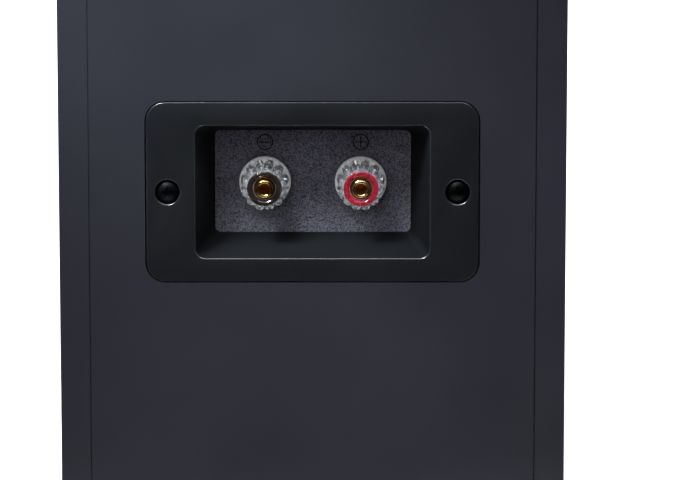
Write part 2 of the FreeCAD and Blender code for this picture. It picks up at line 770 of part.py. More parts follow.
def woofer_moving():
    place = (0, front_y, woofer_z)
    skin, inner, mouth = size.surround_skin, surround_inner, woofer_mouth
    lip, roll = inner - size.rim_width, size.surround_roll
    middle = (inner + mouth) / 2
    surround = new_body("woofer_surround", FACING_FRONT, place)
    turn(surround, [(lip, 0), (inner, 0), Via(middle, roll), (mouth, 0),
                    (lip_radius, 0), (lip_radius, skin), (mouth + 0.2, skin),
                    Via(middle, roll + skin), (inner - 0.2, skin), (lip, skin)])

    cone = new_body("woofer_cone", FACING_FRONT, place)
    shell, cap, seat = size.cone_skin, size.cap_radius, -size.cap_seat
    outside = size.former_radius + size.former_skin
    neck, neck_end = -size.neck_depth, -size.neck_depth - size.neck_length
    half = (lip + cap) / 2
    turn(cone, [(inner, 0), (lip, 0), Via(half, seat * 0.41), (cap, seat), (cap - 2, seat),
                (outside, neck), (outside, neck_end), (outside + shell, neck_end),
                (cap - 0.5, seat - shell * 1.3), Via(half, seat * 0.41 - shell * 1.1),
                (lip - 0.5, -shell), (inner, -shell)])

    dust_cap = new_body("woofer_dust_cap", FACING_FRONT, place)
    rise, film = size.cap_rise, size.cap_skin
    turn(dust_cap, dome_outline(cap, seat, rise, film))

    coil = new_body("woofer_voice_coil", FACING_FRONT, place)
    former = size.former_radius
    wire = outside + size.coil_skin
    gap_middle = -size.basket_depth - size.basket_sheet - size.plate_board / 2
    low, high = gap_middle - size.coil_height / 2, gap_middle + size.coil_height / 2
    turn(coil, [(former, low - 0.5), (outside, low - 0.5), (outside, low), (wire, low),
                (wire, high), (outside, high), (outside, neck), (former, neck)])

    spider = new_body("woofer_spider", FACING_FRONT, place)
    cloth, level, wave = size.spider_skin, -size.spider_ledge, size.spider_wave
    waves = 7
    pitch = (size.spider_seat - outside) / waves
    under, over = [(outside, level)], [(outside, level + cloth)]
    for index in range(waves):
        crest = wave * (1 if index % 2 else -1)
        at, next_at = outside + pitch * (index + 0.5), outside + pitch * (index + 1)
        under += [Via(at, level + crest), (next_at, level)]
        over += [Via(at, level + crest + cloth), (next_at, level + cloth)]
    edge = [(size.spider_rim, level), (size.spider_rim, level + cloth)]
    turn(spider, under + edge + over[::-1])


def woofer_terminals():
    strip = new_body("woofer_terminal_strip", FACING_FRONT, (0, front_y, woofer_z))
    top = -size.spider_ledge - size.basket_sheet
    near, far = -size.plate_radius, -size.plate_radius - size.strip_length
    half = size.strip_width / 2
    pad(strip, rectangle(-half, far, half, near), top - size.strip_board, top)
    for side in (-1, 1):
        across = size.tab_spacing / 2 * side
        wide = size.tab_width / 2
        pad(strip, rectangle(across - wide, far - size.tab_length, across + wide, far + 4),
            top - size.strip_board - size.tab_board, top - size.strip_board)


# ---------------------------------------------------------------- tweeter


def tweeter():
    place = (0, front_y, tweeter_z)
    outer, board = size.faceplate_radius, size.faceplate_board
    mouth, throat, depth = size.horn_mouth, size.horn_throat, size.horn_depth
    boss, plane = size.horn_boss, -size.dome_plane
    lip, lip_board = size.dome_lip, size.dome_lip_board
    plate = new_body("tweeter_faceplate", FACING_FRONT, place)
    turn(plate, [(outer - 0.6, 0), (outer, -0.6), (outer, -board), (boss, -board),
                 (boss, plane), (lip, plane), (lip, plane + lip_board),
                 (throat, plane + lip_board), (throat, -depth),
                 Via((throat + mouth) / 2 - 2, -depth * 0.32), (mouth, 0)])
    for across, along in circle_places(size.tweeter_screw_circle, 4):
        drill(plate, size.tweeter_screw_radius, 0, board, across, along)
        countersink(plate, across, along)

    screws = new_body("tweeter_screws", FACING_FRONT, place)
    shank, head = size.tweeter_screw_radius, size.tweeter_screw_head
    tip = -size.tweeter_screw_length
    for across, along in circle_places(size.tweeter_screw_circle, 4):
        turn(screws, [(0, tip), (shank - 0.8, tip), (shank, tip + 1.6),
                      (shank, -size.tweeter_screw_sink), (head, 0), (0, 0)],
             across, along)
        cut(screws, cross(3.4, 0.8, across, along), 0, 1.2)

    radius, rise, film = size.dome_radius, size.dome_rise, size.dome_skin
    dome = new_body("tweeter_dome", FACING_FRONT, place)
    turn(dome, dome_outline(radius, plane, rise, film))

    surround = new_body("tweeter_surround", FACING_FRONT, place)
    middle, roll = (radius + throat) / 2, size.dome_roll
    turn(surround, [(radius, plane), Via(middle, plane + roll), (throat, plane),
                    (lip, plane), (lip, plane + lip_board), (throat, plane + lip_board),
                    Via(middle, plane + roll + film), (radius, plane + film)])

    wire = radius + size.tweeter_coil_skin
    bottom = plane - size.tweeter_coil_height
    coil = new_body("tweeter_voice_coil", FACING_FRONT, place)
    turn(coil, [(radius - film, bottom), (wire, bottom), (wire, plane - 0.6),
                (radius, plane - 0.6), (radius, plane), (radius - film, plane)])

    middle_z = plane - size.tweeter_plate_board
    back = middle_z - size.tweeter_magnet_board
    rear = back - size.tweeter_yoke_board
    top_plate = new_body("tweeter_top_plate", FACING_FRONT, place)
    turn(top_plate, rectangle(wire + size.tweeter_coil_gap, middle_z,
                              size.tweeter_plate, plane))
    magnet = new_body("tweeter_magnet", FACING_FRONT, place)
    turn(magnet, rectangle(size.tweeter_magnet_bore, back, size.tweeter_magnet, middle_z))
    yoke = new_body("tweeter_yoke", FACING_FRONT, place)
    pole = size.tweeter_pole
    turn(yoke, [(0, rear), (size.tweeter_plate - 1, rear), (size.tweeter_plate, rear + 1),
                (size.tweeter_plate, back), (pole, back),
                (pole, plane - size.tweeter_pole_drop), (0, plane - size.tweeter_pole_drop)])

    terminals = new_body("tweeter_terminals", FACING_FRONT, place)
    half = size.strip_width / 2
    pad(terminals, rectangle(-half, -8, half, 8), rear - size.strip_board, rear)
    for side in (-1, 1):
        across = size.tab_spacing / 2 * side
        wide = size.tab_width / 2
        pad(terminals, rectangle(across - wide, -size.tab_board / 2, across + wide,
                                 size.tab_board / 2),
            rear - size.strip_board - size.tab_length, rear - size.strip_board)


def countersink(body, across, along):
    """Conical seat for a flat screw head."""
    sketch = new_sketch(body, "XZ_Plane", -as_size(along), across)
    sink_depth = size.tweeter_screw_sink
    draw_outline(sketch, [(0, 0), (size.tweeter_screw_head, 0),
                          (size.tweeter_screw_radius, -sink_depth), (0, -sink_depth)])
    groove = body.newObject("PartDesign::Groove", body.Name + "_sink")
    groove.Profile = sketch
    groove.ReferenceAxis = (sketch, ["V_Axis"])
    groove.Angle = 360


# ---------------------------------------------------------------- crossover

board_front_y = brace_rear_y + size.board_setback
board_rear_y = board_front_y + size.board_length
board_low_z = inside_bottom_z + size.board_lift
board_top_z = board_low_z + size.board_sheet
board_half = size.board_width / 2


def lead_tabs():
    """Places of the blade tabs on the board, in pairs."""
    rear, front = board_rear_y - 4, board_front_y + 4
    return {"input": [(size.post_spacing / 2 * side, rear) for side in (-1, 1)],
            "woofer": [(size.tab_spacing / 2 * side + 8, front) for side in (-1, 1)],
            "tweeter": [(size.tab_spacing / 2 * side - 34, front) for side in (-1, 1)]}


def crossover_board():
    body = new_body("crossover_board")
    pad(body, rectangle(-board_half, board_front_y, board_half, board_rear_y),
        board_low_z, board_top_z)
    for pair in lead_tabs().values():
        for across, along in pair:
            half, thin = size.tab_width / 2, size.tab_board / 2
            pad(body, rectangle(across - half, along - thin, across + half, along + thin),
                board_top_z, board_top_z + size.tab_length)
    for across, along in pillar_places():
        drill(body, size.pillar_pin, board_top_z, size.board_sheet, across, along)


def pillar_places():
    inset = size.pillar_inset
    for x_sign in (-1, 1):
        for along in (board_front_y + inset, board_rear_y - inset):
            yield (board_half - inset) * x_sign, along


def board_pillars():
    body = new_body("board_pillars")
    foot, pin, head = size.pillar_radius, size.pillar_pin, size.pillar_head
    profile = [(0, inside_bottom_z), (foot, inside_bottom_z), (foot, board_low_z),
               (pin, board_low_z), (pin, board_top_z), (head, board_top_z),
               (head - 0.8, board_top_z + 1.6), (0, board_top_z + 1.6)]
    for across, along in pillar_places():
        turn(body, profile, across, along)


def bobbin_coil(name, turned, place, radius, core, length):
    """Air-core coil: a winding between two thin flanges, hollow through its middle."""
    body = new_body(name, turned, place)
    flange, wound = size.bobbin_flange, radius - 1.5
    turn(body, [(core, 0), (radius, 0), (radius, flange), (wound, flange),
                (wound, length - flange), (radius, length - flange), (radius, length),
                (core, length)])


def crossover_parts():
    middle_y = (board_front_y + board_rear_y) / 2
    coil_x = board_half - size.woofer_coil_radius - size.pillar_inset
    bobbin_coil("woofer_inductor", UPRIGHT, (coil_x, middle_y, board_top_z),
                size.woofer_coil_radius, size.woofer_coil_core, size.woofer_coil_length)
    coil_x = size.tweeter_coil_radius + size.pillar_inset - board_half
    bobbin_coil("tweeter_inductor", FACING_REAR,
                (coil_x, middle_y + 4, board_top_z + size.tweeter_coil_radius),
                size.tweeter_coil_radius, size.tweeter_coil_core,
                size.tweeter_coil_length)

    capacitors = new_body("crossover_capacitors", FACING_REAR)
    pitch = size.capacitor_radius * 2 + size.capacitor_gap
    can, low = size.capacitor_radius, middle_y - size.capacitor_length / 2 + 6
    height = board_top_z + can
    high = low + size.capacitor_length
    profile = [(0, low), (can - 1, low), (can, low + 1), (can, high - 3),
               (can - 0.8, high - 2.4), (can, high - 1.8), (can, high), (0, high)]
    for index in (-1, 0):
        turn(capacitors, profile, pitch * (index + 0.5) + 4, height)

    resistor = new_body("cement_resistor")
    half = size.resistor_length / 2
    near = board_front_y + 12
    pad(resistor, rectangle(-half - 5, near, half - 5, near + size.resistor_width),
        board_top_z, board_top_z + size.resistor_width - 1)


# ---------------------------------------------------------------- leads


def tube_path(points):
    """Straight runs joined by tangent arcs as large as the runs beside them allow."""
    edges, start = [], points[0]
    for before, corner, after in zip(points, points[1:], points[2:]):
        into, onward = corner - before, after - corner
        bend = into.getAngle(onward)
        reach = 0.45 * min(into.Length, onward.Length)
        radius = reach / math.tan(bend / 2)
        into.normalize()
        onward.normalize()
        inward = (onward - into).normalize()
        arc_start, arc_end = corner - into * reach, corner + onward * reach
        middle = corner + inward * (radius / math.cos(bend / 2) - radius)
        edges += [Part.LineSegment(start, arc_start).toShape(),
                  Part.Arc(arc_start, middle, arc_end).toShape()]
        start = arc_end
    edges.append(Part.LineSegment(start, points[-1]).toShape())
    return Part.Wire(edges)


def tube(points, radius):
    path = tube_path(points)
    ring = Part.makeCircle(radius, points[0], points[1] - points[0])
    solid = path.makePipeShell([Part.Wire([ring])], True, False)
    expected = math.pi * radius ** 2 * path.Length
    if abs(solid.Volume - expected) > expected * 0.01:
        raise ValueError("a lead's volume does not match its section and length")
    return solid


def add_leads(name, routes, radius):
    """A pair of leads, each along its own route of plain points."""
    feature = document.addObject("Part::Feature", name)
    feature.Label = name
    solids = [tube([Vector(*point) for point in route], radius) for route in routes]
    feature.Shape = Part.makeCompound(solids)
    pieces.append(feature)


def number(value):
    return as_size(value).number


def leads():
    tabs = lead_tabs()
    tab_top = number(board_top_z + size.tab_length)
    tag_y = number(rear_y - size.cup_depth - size.cup_wall - size.insulator_board
                   - size.tag_board / 2)
    tag_z = number(cup_z - size.tag_length)
    routes = []
    for side, (across, along) in zip((-1, 1), tabs["input"]):
        x, y = number(across), number(along)
        start = (number(size.post_spacing / 2) * side, tag_y, tag_z)
        routes.append([start, (x, tag_y, tag_z - 14), (x + 6 * side, tag_y - 6, tag_z - 32),
                       (x + 3 * side, y - 2, tab_top + 30), (x, y, tab_top + 12),
                       (x, y, tab_top)])
    add_leads("input_leads", routes, number(size.lead_radius))

    strip_y = number(front_y + size.spider_ledge + size.basket_sheet + size.strip_board
                     + size.tab_board / 2)
    strip_z = number(woofer_z - size.plate_radius - size.strip_length - size.tab_length)
    rim_z = number(inside_bottom_z + size.brace_rim)
    brace_y = number(brace_rear_y - size.brace_board / 2)
    routes = []
    for side, (across, along) in zip((-1, 1), tabs["woofer"]):
        x, y = number(across), number(along)
        strip_x = number(size.tab_spacing / 2) * side
        routes.append([(x, y, tab_top), (x, y, tab_top + 12), (x - 2, brace_y + 8, rim_z + 8),
                       (x - 6, brace_y - 22, rim_z + 7), (strip_x, strip_y + 12, rim_z - 3),
                       (strip_x, strip_y, strip_z - 8), (strip_x, strip_y, strip_z)])
    add_leads("woofer_leads", routes, number(size.lead_radius))

    plug_y = number(front_y + size.dome_plane + size.tweeter_plate_board
                    + size.tweeter_magnet_board + size.tweeter_yoke_board
                    + size.strip_board + size.tab_length)
    high_z = number(tweeter_z)
    routes = []
    for side, (across, along) in zip((-1, 1), tabs["tweeter"]):
        x, y = number(across), number(along)
        strip_x = number(size.tab_spacing / 2) * side
        routes.append([(x, y, tab_top), (x, y, tab_top + 20), (x + 4, y - 8, tab_top + 62),
                       (x + 3, brace_y + 2, high_z - 100), (x + 6, brace_y - 8, high_z - 50),
                       (x + 16, brace_y - 20, high_z - 12), (strip_x - 4, plug_y + 22, high_z - 2),
                       (strip_x, plug_y + 8, high_z), (strip_x, plug_y, high_z)])
    add_leads("tweeter_leads", routes, number(size.lead_radius))


def tinsel_leads():
    """Braided leads from the terminal strip through the basket to the cone's back."""
    axis_z, face_y = number(woofer_z), number(front_y)
    routes = []
    level = number(size.plate_radius + size.basket_sheet * 5)
    ledge = number(size.spider_ledge + size.basket_sheet)
    for side in (-1, 1):
        x = number(size.tab_spacing / 2) * side
        routes.append([(x, face_y + ledge, axis_z - level),
                       (x, face_y + ledge - 12, axis_z - level),
                       (x * 0.9, face_y + 11.5, axis_z - level + 13)])
    add_leads("woofer_tinsel_leads", routes, number(size.tinsel_radius))


# ---------------------------------------------------------------- make and export

for make in (walls, front_baffle, rear_panel, window_brace, corner_blocks,
             damping_wadding, rubber_feet, grille_sockets, port, terminal_cup, cup_gasket,
             cup_screws, binding_posts, post_hardware, woofer_frame, woofer_motor,
             woofer_moving, woofer_terminals, tweeter, crossover_board, board_pillars,
             crossover_parts, leads, tinsel_leads):
    make()
document.recompute()

faults = [item.Name for item in document.Objects
          if "Invalid" in item.State or "Error" in item.State]
faults += [piece.Label for piece in pieces
           if piece.Shape.isNull() or not piece.Shape.isValid() or not piece.Shape.Solids]
if faults:
    raise RuntimeError("not built: " + ", ".join(faults))

os.makedirs("parts", exist_ok=True)
for piece in pieces:
    piece.Shape.exportStep(f"parts/{piece.Label}.step")
print(len(pieces), "pieces written")
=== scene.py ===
import math

import bmesh
import bpy
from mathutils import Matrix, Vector


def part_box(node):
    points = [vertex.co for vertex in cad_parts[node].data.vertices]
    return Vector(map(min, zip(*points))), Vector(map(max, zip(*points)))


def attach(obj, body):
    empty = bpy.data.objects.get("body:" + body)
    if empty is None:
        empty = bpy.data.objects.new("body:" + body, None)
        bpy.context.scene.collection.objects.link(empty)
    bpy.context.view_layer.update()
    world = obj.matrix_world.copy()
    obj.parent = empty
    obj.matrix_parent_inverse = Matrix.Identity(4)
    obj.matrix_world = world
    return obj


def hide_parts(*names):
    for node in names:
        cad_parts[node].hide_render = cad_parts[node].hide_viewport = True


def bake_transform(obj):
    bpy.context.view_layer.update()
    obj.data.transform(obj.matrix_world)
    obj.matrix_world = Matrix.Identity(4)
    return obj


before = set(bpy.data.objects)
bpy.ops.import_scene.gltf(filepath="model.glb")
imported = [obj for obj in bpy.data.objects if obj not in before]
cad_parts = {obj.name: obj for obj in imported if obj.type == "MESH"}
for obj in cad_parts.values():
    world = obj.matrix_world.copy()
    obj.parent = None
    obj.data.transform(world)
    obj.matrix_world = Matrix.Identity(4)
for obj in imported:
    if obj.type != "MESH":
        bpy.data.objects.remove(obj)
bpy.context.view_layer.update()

mm = 0.001
metre = 1000  # in mm, so a noise's scale is metre over its size
waveMetre = 100 * math.pi  # the same for a wave, which turns twenty times as fast
facingRear = (math.radians(90), 0, math.radians(180))  # a piece's own z turned to the rear
facingFront = (math.radians(90), 0, 0)
print("frame loaded:", len(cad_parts), "nodes")


def middleOf(node):
    low, high = (Vector(corner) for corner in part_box(node))
    return (low + high) / 2


def lowOf(node):
    return Vector(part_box(node)[0])


def highOf(node):
    return Vector(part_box(node)[1])


# places that come from the frame
rearFace = highOf("rear_panel").y
frontFace = lowOf("front_baffle").y
cupCentre = middleOf("terminal_cup")
cupCentre.y = rearFace
wooferCentre = middleOf("woofer_trim_ring")
wooferCentre.y = frontFace
tweeterCentre = middleOf("tweeter_faceplate")
tweeterCentre.y = frontFace

# a long lens looks a little down on the cup; aims in mm from the cup's centre
cameraValues = {
    "lens": 228, "sensor": 36, "nearest": 0.05, "farthest": 50, "distance": 1.53, "elevation": 10.0,
    "aimAcross": -9.75, "aimDown": 17.2}


def makeCamera():
    tilt = math.radians(cameraValues["elevation"])
    back = Vector((0, math.cos(tilt), math.sin(tilt)))
    aim = cupCentre + Vector((cameraValues["aimAcross"] * mm, 0, -cameraValues["aimDown"] * mm))
    bpy.ops.object.camera_add(location=aim + back * cameraValues["distance"])
    camera = bpy.context.object
    camera.name = "rearCamera"
    camera.rotation_euler = (-back).to_track_quat("-Z", "Y").to_euler()
    camera.data.lens = cameraValues["lens"]
    camera.data.sensor_width = cameraValues["sensor"]
    camera.data.clip_start, camera.data.clip_end = cameraValues["nearest"], cameraValues["farthest"]
    bpy.context.scene.camera = camera


# sizes and places in metres; a narrow spread keeps a lamp on the rear
lightValues = {
    "top": {"place": (0, 0.5, 1.9), "aim": (0, 0.1, 0), "size": 2.2, "power": 75, "tint": "FFFFFF"},
    "rearTop": {"place": (0.16, 0.36, 0.48), "aim": (0.02, 0.11, 0.18), "size": 0.36, "deep": 0.1,
                "power": 0.2, "tint": "F6FAFF", "spread": 50},
    "corner": {"place": (0.2, 0.3, 0.52), "aim": (0.08, 0.11, 0.25), "size": 0.12,
               "power": 0.55, "tint": "E6F4FF", "spread": 44},
    "rearLow": {"place": (0, 0.197, 0.006), "aim": (0, 0.085, 0.15), "size": 0.4, "deep": 0.03,
                "power": 0.04, "tint": "EEEEFF", "spread": 80},
    "behind": {"place": (0.5, 1.8, 0.75), "aim": (0, 0.11, 0.15), "size": 1.2,
               "power": 13, "tint": "FFFCFF", "glossy": False},
    "side": {"place": (-1.3, -0.5, 0.8), "aim": (-0.1, -0.1, 0.03), "size": 0.9, "power": 22, "tint": "FFFFFF"},
    "otherSide": {"place": (1.4, -0.7, 0.9), "aim": (0.1, -0.1, 0.05), "size": 0.9, "power": 14, "tint": "FFFFFF"},
    "front": {"place": (0.5, -1.7, 1.1), "aim": (0, -0.1, 0.16), "size": 1.0, "power": 12, "tint": "FFFFFF"},
    "frontKey": {"place": (-0.75, -1.0, 0.95), "aim": (0, -0.1, 0.17), "size": 0.35, "power": 9, "tint": "FFF8F0"}}
stageValues = {
    "paper": "F2F2F2", "sheet": 40, "under": -0.0005, "whiteFrom": 0.7, "whiteTo": 1.5,
    "felt": "060606", "worldForLamps": 0.06, "worldForLens": 1.05}
# a dark card lies on the floor behind the speaker, so the rear is lit steeply from above and below
cardValues = {
    "darkCard": {"wide": 4.0, "deep": 3.85, "place": (0, 2.075, 0.0006), "turn": 0, "shade": False},
    # stands on the rear top edge and keeps the low rear lamps off the top
    "flagCard": {"wide": 0.5, "deep": 0.149, "place": (0.05, 0.109, 0.4055), "turn": 90, "shade": True}}


def addNode(material, kind, settings=None, links=None):
    # one node, with its sockets or properties set and its links made
    tree = material.node_tree
    node = tree.nodes.new(kind)
    for name, value in (settings or {}).items():
        if isinstance(name, int) or name in node.inputs:
            node.inputs[name].default_value = value
        else:
            setattr(node, name, value)
    for name, source in (links or {}).items():
        tree.links.new(source, node.inputs[name])
    return node


def colour(hexText):
    # sRGB hex to linear
    parts = [int(hexText[place:place + 2], 16) / 255 for place in (0, 2, 4)]
    return [part / 12.92 if part <= 0.04045 else ((part + 0.055) / 1.055) ** 2.4 for part in parts] + [1.0]


def startMaterial(name, settings):
    # an empty material with one Principled shader, its sockets set
    material = bpy.data.materials.new(name)
    material.use_nodes = True
    shader = material.node_tree.nodes["Principled BSDF"]
    for socket, value in settings.items():
        shader.inputs[socket].default_value = value
    return material, shader


def makeStage():
    paper, paperShader = startMaterial("whitePaper", {
        "Base Color": colour(stageValues["paper"]), "Roughness": 0.9, "Specular IOR Level": 0.1,
        "Emission Color": colour("FFFFFF")})
    # far off the sheet glows for the lens alone, which sees it as even white; the lamps do not
    place = addNode(paper, "ShaderNodeTexCoord").outputs["Object"]
    away = addNode(paper, "ShaderNodeVectorMath", {"operation": "LENGTH"}, {0: place}).outputs["Value"]
    fade = addNode(paper, "ShaderNodeMapRange", {
        "From Min": stageValues["whiteFrom"], "From Max": stageValues["whiteTo"]}, {"Value": away}).outputs["Result"]
    seen = addNode(paper, "ShaderNodeLightPath").outputs["Is Camera Ray"]
    glow = addNode(paper, "ShaderNodeMath", {"operation": "MULTIPLY"}, {0: fade, 1: seen}).outputs["Value"]
    paper.node_tree.links.new(glow, paperShader.inputs["Emission Strength"])
    bpy.ops.mesh.primitive_plane_add(size=stageValues["sheet"], location=(0, 0, stageValues["under"]))
    floor = bpy.context.object
    floor.name = "paperFloor"
    floor.data.materials.append(paper)
    for name, values in lightValues.items():
        place, aim = Vector(values["place"]), Vector(values["aim"])
        bpy.ops.object.light_add(type="AREA", location=place)
        light = bpy.context.object
        light.name = name + "Light"
        light.data.shape = "RECTANGLE"
        light.data.size = values["size"]
        light.data.size_y = values.get("deep", values["size"])
        light.data.energy = values["power"]
        light.data.color = colour(values["tint"])[:3]
        light.rotation_euler = (aim - place).to_track_quat("-Z", "Y").to_euler()
        light.data.spread = math.radians(values.get("spread", 180))
        light.visible_camera = False
        light.visible_glossy = values.get("glossy", True)
    world = bpy.data.worlds.new("studio")
    bpy.context.scene.world = world
    world.use_nodes = True
    world.node_tree.nodes["Background"].inputs["Color"].default_value = colour("FFFFFF")
    seen = addNode(world, "ShaderNodeLightPath").outputs["Is Camera Ray"]
    strength = addNode(world, "ShaderNodeMapRange", {
        "To Min": stageValues["worldForLamps"], "To Max": stageValues["worldForLens"]},
        {"Value": seen}).outputs["Result"]
    world.node_tree.links.new(strength, world.node_tree.nodes["Background"].inputs["Strength"])
    felt, _ = startMaterial("blackFelt", {
        "Base Color": colour(stageValues["felt"]), "Roughness": 1.0, "Specular IOR Level": 0.0})
    for name, values in cardValues.items():
        bpy.ops.mesh.primitive_plane_add(
            size=1, location=values["place"], rotation=(math.radians(values["turn"]), 0, 0))
        card = bpy.context.object
        card.name = name
        card.scale = (values["wide"], values["deep"], 1)
        bpy.ops.object.transform_apply(location=True, rotation=True, scale=True)
        card.visible_camera = False
        card.visible_shadow = values["shade"]
        card.data.materials.append(felt)
    bpy.context.scene.view_settings.view_transform = "Standard"


makeCamera()
makeStage()
print("camera, stage and lights made")

# patterns that finishes of one kind share, in mm
patternSizes = {"melt": 30, "polish": 12, "anodic": 40, "dye": 60, "gloss": 0.5, "bloom": 14}


def finishSurface(material, shader, values, tone, gloss, relief):
    # what all finishes share: one pattern sets the tone, one the gloss and one the relief
    toneLow, toneHigh = values.get("toneRange", (0.35, 0.65))
    glossLow, glossHigh = values.get("glossRange", (0.3, 0.7))
    toneShare = addNode(material, "ShaderNodeMapRange", {"From Min": toneLow, "From Max": toneHigh}, {"Value": tone})
    tint = addNode(material, "ShaderNodeMix", {
        "data_type": "RGBA", 6: colour(values["low"]), 7: colour(values["high"])}, {0: toneShare.outputs["Result"]})
    dullness = addNode(material, "ShaderNodeMapRange", {
        "From Min": glossLow, "From Max": glossHigh, "To Min": values["smooth"], "To Max": values["rough"]},
        {"Value": gloss})
    skin = addNode(material, "ShaderNodeBump", {
        "Strength": 1.0, "Distance": values["depth"] * mm}, {"Height": relief})
    links = material.node_tree.links
    links.new(tint.outputs[2], shader.inputs["Base Color"])
    links.new(dullness.outputs["Result"], shader.inputs["Roughness"])
    links.new(skin.outputs["Normal"], shader.inputs["Normal"])
    return material


def mouldedPlastic(name, values):
    # two noises: slow mottling from the melt, and the fine pits of a spark-eroded mould
    material, shader = startMaterial(name, {"IOR": 1.5, "Specular IOR Level": values.get("specular", 0.5)})
    place = addNode(material, "ShaderNodeTexCoord").outputs["Object"]
    cloud = addNode(material, "ShaderNodeTexNoise", {
        "Scale": metre / values.get("cloud", patternSizes["melt"]), "Detail": 3, "Roughness": 0.5},
        {"Vector": place}).outputs["Fac"]
    grain = addNode(material, "ShaderNodeTexNoise", {
        "Scale": metre / values["grain"], "Detail": 3, "Roughness": 0.6}, {"Vector": place}).outputs["Fac"]
    return finishSurface(material, shader, values, cloud, grain, grain)


def cutMetal(name, values):
    # bare or plated metal: a slightly uneven polish over fine cutting marks
    material, shader = startMaterial(name, {"Metallic": 1.0})
    place = addNode(material, "ShaderNodeTexCoord").outputs["Object"]
    along = addNode(material, "ShaderNodeMapping", {"Scale": values.get("stretch", (1, 1, 1))}, {"Vector": place})
    marks = addNode(material, "ShaderNodeTexNoise", {
        "Scale": metre / values["grain"], "Detail": 2, "Roughness": 0.5},
        {"Vector": along.outputs["Vector"]}).outputs["Fac"]
    cloud = addNode(material, "ShaderNodeTexNoise", {
        "Scale": metre / patternSizes["polish"], "Detail": 3, "Roughness": 0.5}, {"Vector": place}).outputs["Fac"]
    return finishSurface(material, shader, values, cloud, cloud, marks)


def turnedMetal(name, values):
    # rings about the ring's own axis, as a lathe leaves them
    material, shader = startMaterial(name, {"Metallic": 1.0})
    place = addNode(material, "ShaderNodeTexCoord").outputs["Object"]
    centred = addNode(material, "ShaderNodeMapping", {"Location": -values["centre"]}, {"Vector": place})
    rings = addNode(material, "ShaderNodeTexWave", {
        "wave_type": "RINGS", "rings_direction": "Y", "Scale": waveMetre / values["ring"], "Distortion": 0.0},
        {"Vector": centred.outputs["Vector"]}).outputs["Fac"]
    cloud = addNode(material, "ShaderNodeTexNoise", {
        "Scale": metre / patternSizes["anodic"], "Detail": 3, "Roughness": 0.5}, {"Vector": place}).outputs["Fac"]
    return finishSurface(material, shader, values, cloud, cloud, rings)


def wrapFoil(name, values):
    # a broad unevenness in the dye, a stretched emboss and a finer speckle of gloss
    material, shader = startMaterial(name, {"IOR": 1.52, "Specular IOR Level": values["specular"]})
    place = addNode(material, "ShaderNodeTexCoord").outputs["Object"]
    drawn = addNode(material, "ShaderNodeMapping", {"Scale": (1, 1, 0.35)}, {"Vector": place})
    cloud = addNode(material, "ShaderNodeTexNoise", {
        "Scale": metre / patternSizes["dye"], "Detail": 3, "Roughness": 0.5}, {"Vector": place}).outputs["Fac"]
    grain = addNode(material, "ShaderNodeTexNoise", {
        "Scale": metre / values["grain"], "Detail": 4, "Roughness": 0.65},
        {"Vector": drawn.outputs["Vector"]}).outputs["Fac"]
    speckle = addNode(material, "ShaderNodeTexNoise", {
        "Scale": metre / patternSizes["gloss"], "Detail": 2, "Roughness": 0.7}, {"Vector": place}).outputs["Fac"]
    return finishSurface(material, shader, values, cloud, speckle, grain)


def clearPlastic(name, values):
    # light passes through it, and faint flow swirls bend it
    material, shader = startMaterial(name, {
        "IOR": 1.49, "Transmission Weight": values["clear"], "Specular IOR Level": 0.5})
    place = addNode(material, "ShaderNodeTexCoord").outputs["Object"]
    swirl = addNode(material, "ShaderNodeTexNoise", {
        "Scale": metre / values["grain"], "Detail": 3, "Roughness": 0.6}, {"Vector": place}).outputs["Fac"]
    return finishSurface(material, shader, values, swirl, swirl, swirl)


def fibreSheet(name, values):
    # two noises drawn out in different directions, as short fibres lie across each other
    material, shader = startMaterial(name, {
        "IOR": 1.45, "Specular IOR Level": 0.2, "Sheen Weight": values.get("sheen", 0.0)})
    place = addNode(material, "ShaderNodeTexCoord").outputs["Object"]
    fibres = []
    for stretch in ((1, 1, 0.25), (0.25, 1, 1)):
        drawn = addNode(material, "ShaderNodeMapping", {"Scale": stretch}, {"Vector": place})
        fibres.append(addNode(material, "ShaderNodeTexNoise", {
            "Scale": metre / values["grain"], "Detail": 3, "Roughness": 0.7}, {"Vector": drawn.outputs["Vector"]}))
    both = addNode(material, "ShaderNodeMath", {"operation": "MAXIMUM"}, {
        0: fibres[0].outputs["Fac"], 1: fibres[1].outputs["Fac"]}).outputs["Value"]
    return finishSurface(material, shader, {"toneRange": (0.4, 0.75), **values}, both, both, both)


def wovenCloth(name, values):
    # plain weave: two crossed sets of threads, one over and one under to each wave
    material, shader = startMaterial(name, {"IOR": 1.5, "Specular IOR Level": 0.3, "Sheen Weight": 0.25})
    place = addNode(material, "ShaderNodeTexCoord").outputs["Object"]
    threads = [addNode(material, "ShaderNodeTexWave", {
        "wave_type": "BANDS", "bands_direction": direction, "wave_profile": "SIN",
        "Scale": waveMetre / (2 * values["thread"]), "Distortion": 1.0, "Detail": 1.0}, {"Vector": place})
        for direction in ("X", "Z")]
    weave = addNode(material, "ShaderNodeMath", {"operation": "MULTIPLY"}, {
        0: threads[0].outputs["Fac"], 1: threads[1].outputs["Fac"]}).outputs["Value"]
    values = {"toneRange": (0.1, 0.9), "glossRange": (1, 0), **values}
    return finishSurface(material, shader, values, weave, weave, weave)


def softRubber(name, values):
    # a dusty bloom in patches over a fine moulded grain
    material, shader = startMaterial(name, {"IOR": 1.52, "Specular IOR Level": values["specular"]})
    place = addNode(material, "ShaderNodeTexCoord").outputs["Object"]
    bloom = addNode(material, "ShaderNodeTexNoise", {
        "Scale": metre / patternSizes["bloom"], "Detail": 4, "Roughness": 0.6}, {"Vector": place}).outputs["Fac"]
    grain = addNode(material, "ShaderNodeTexNoise", {
        "Scale": metre / values["grain"], "Detail": 2, "Roughness": 0.5}, {"Vector": place}).outputs["Fac"]
    return finishSurface(material, shader, values, bloom, bloom, grain)


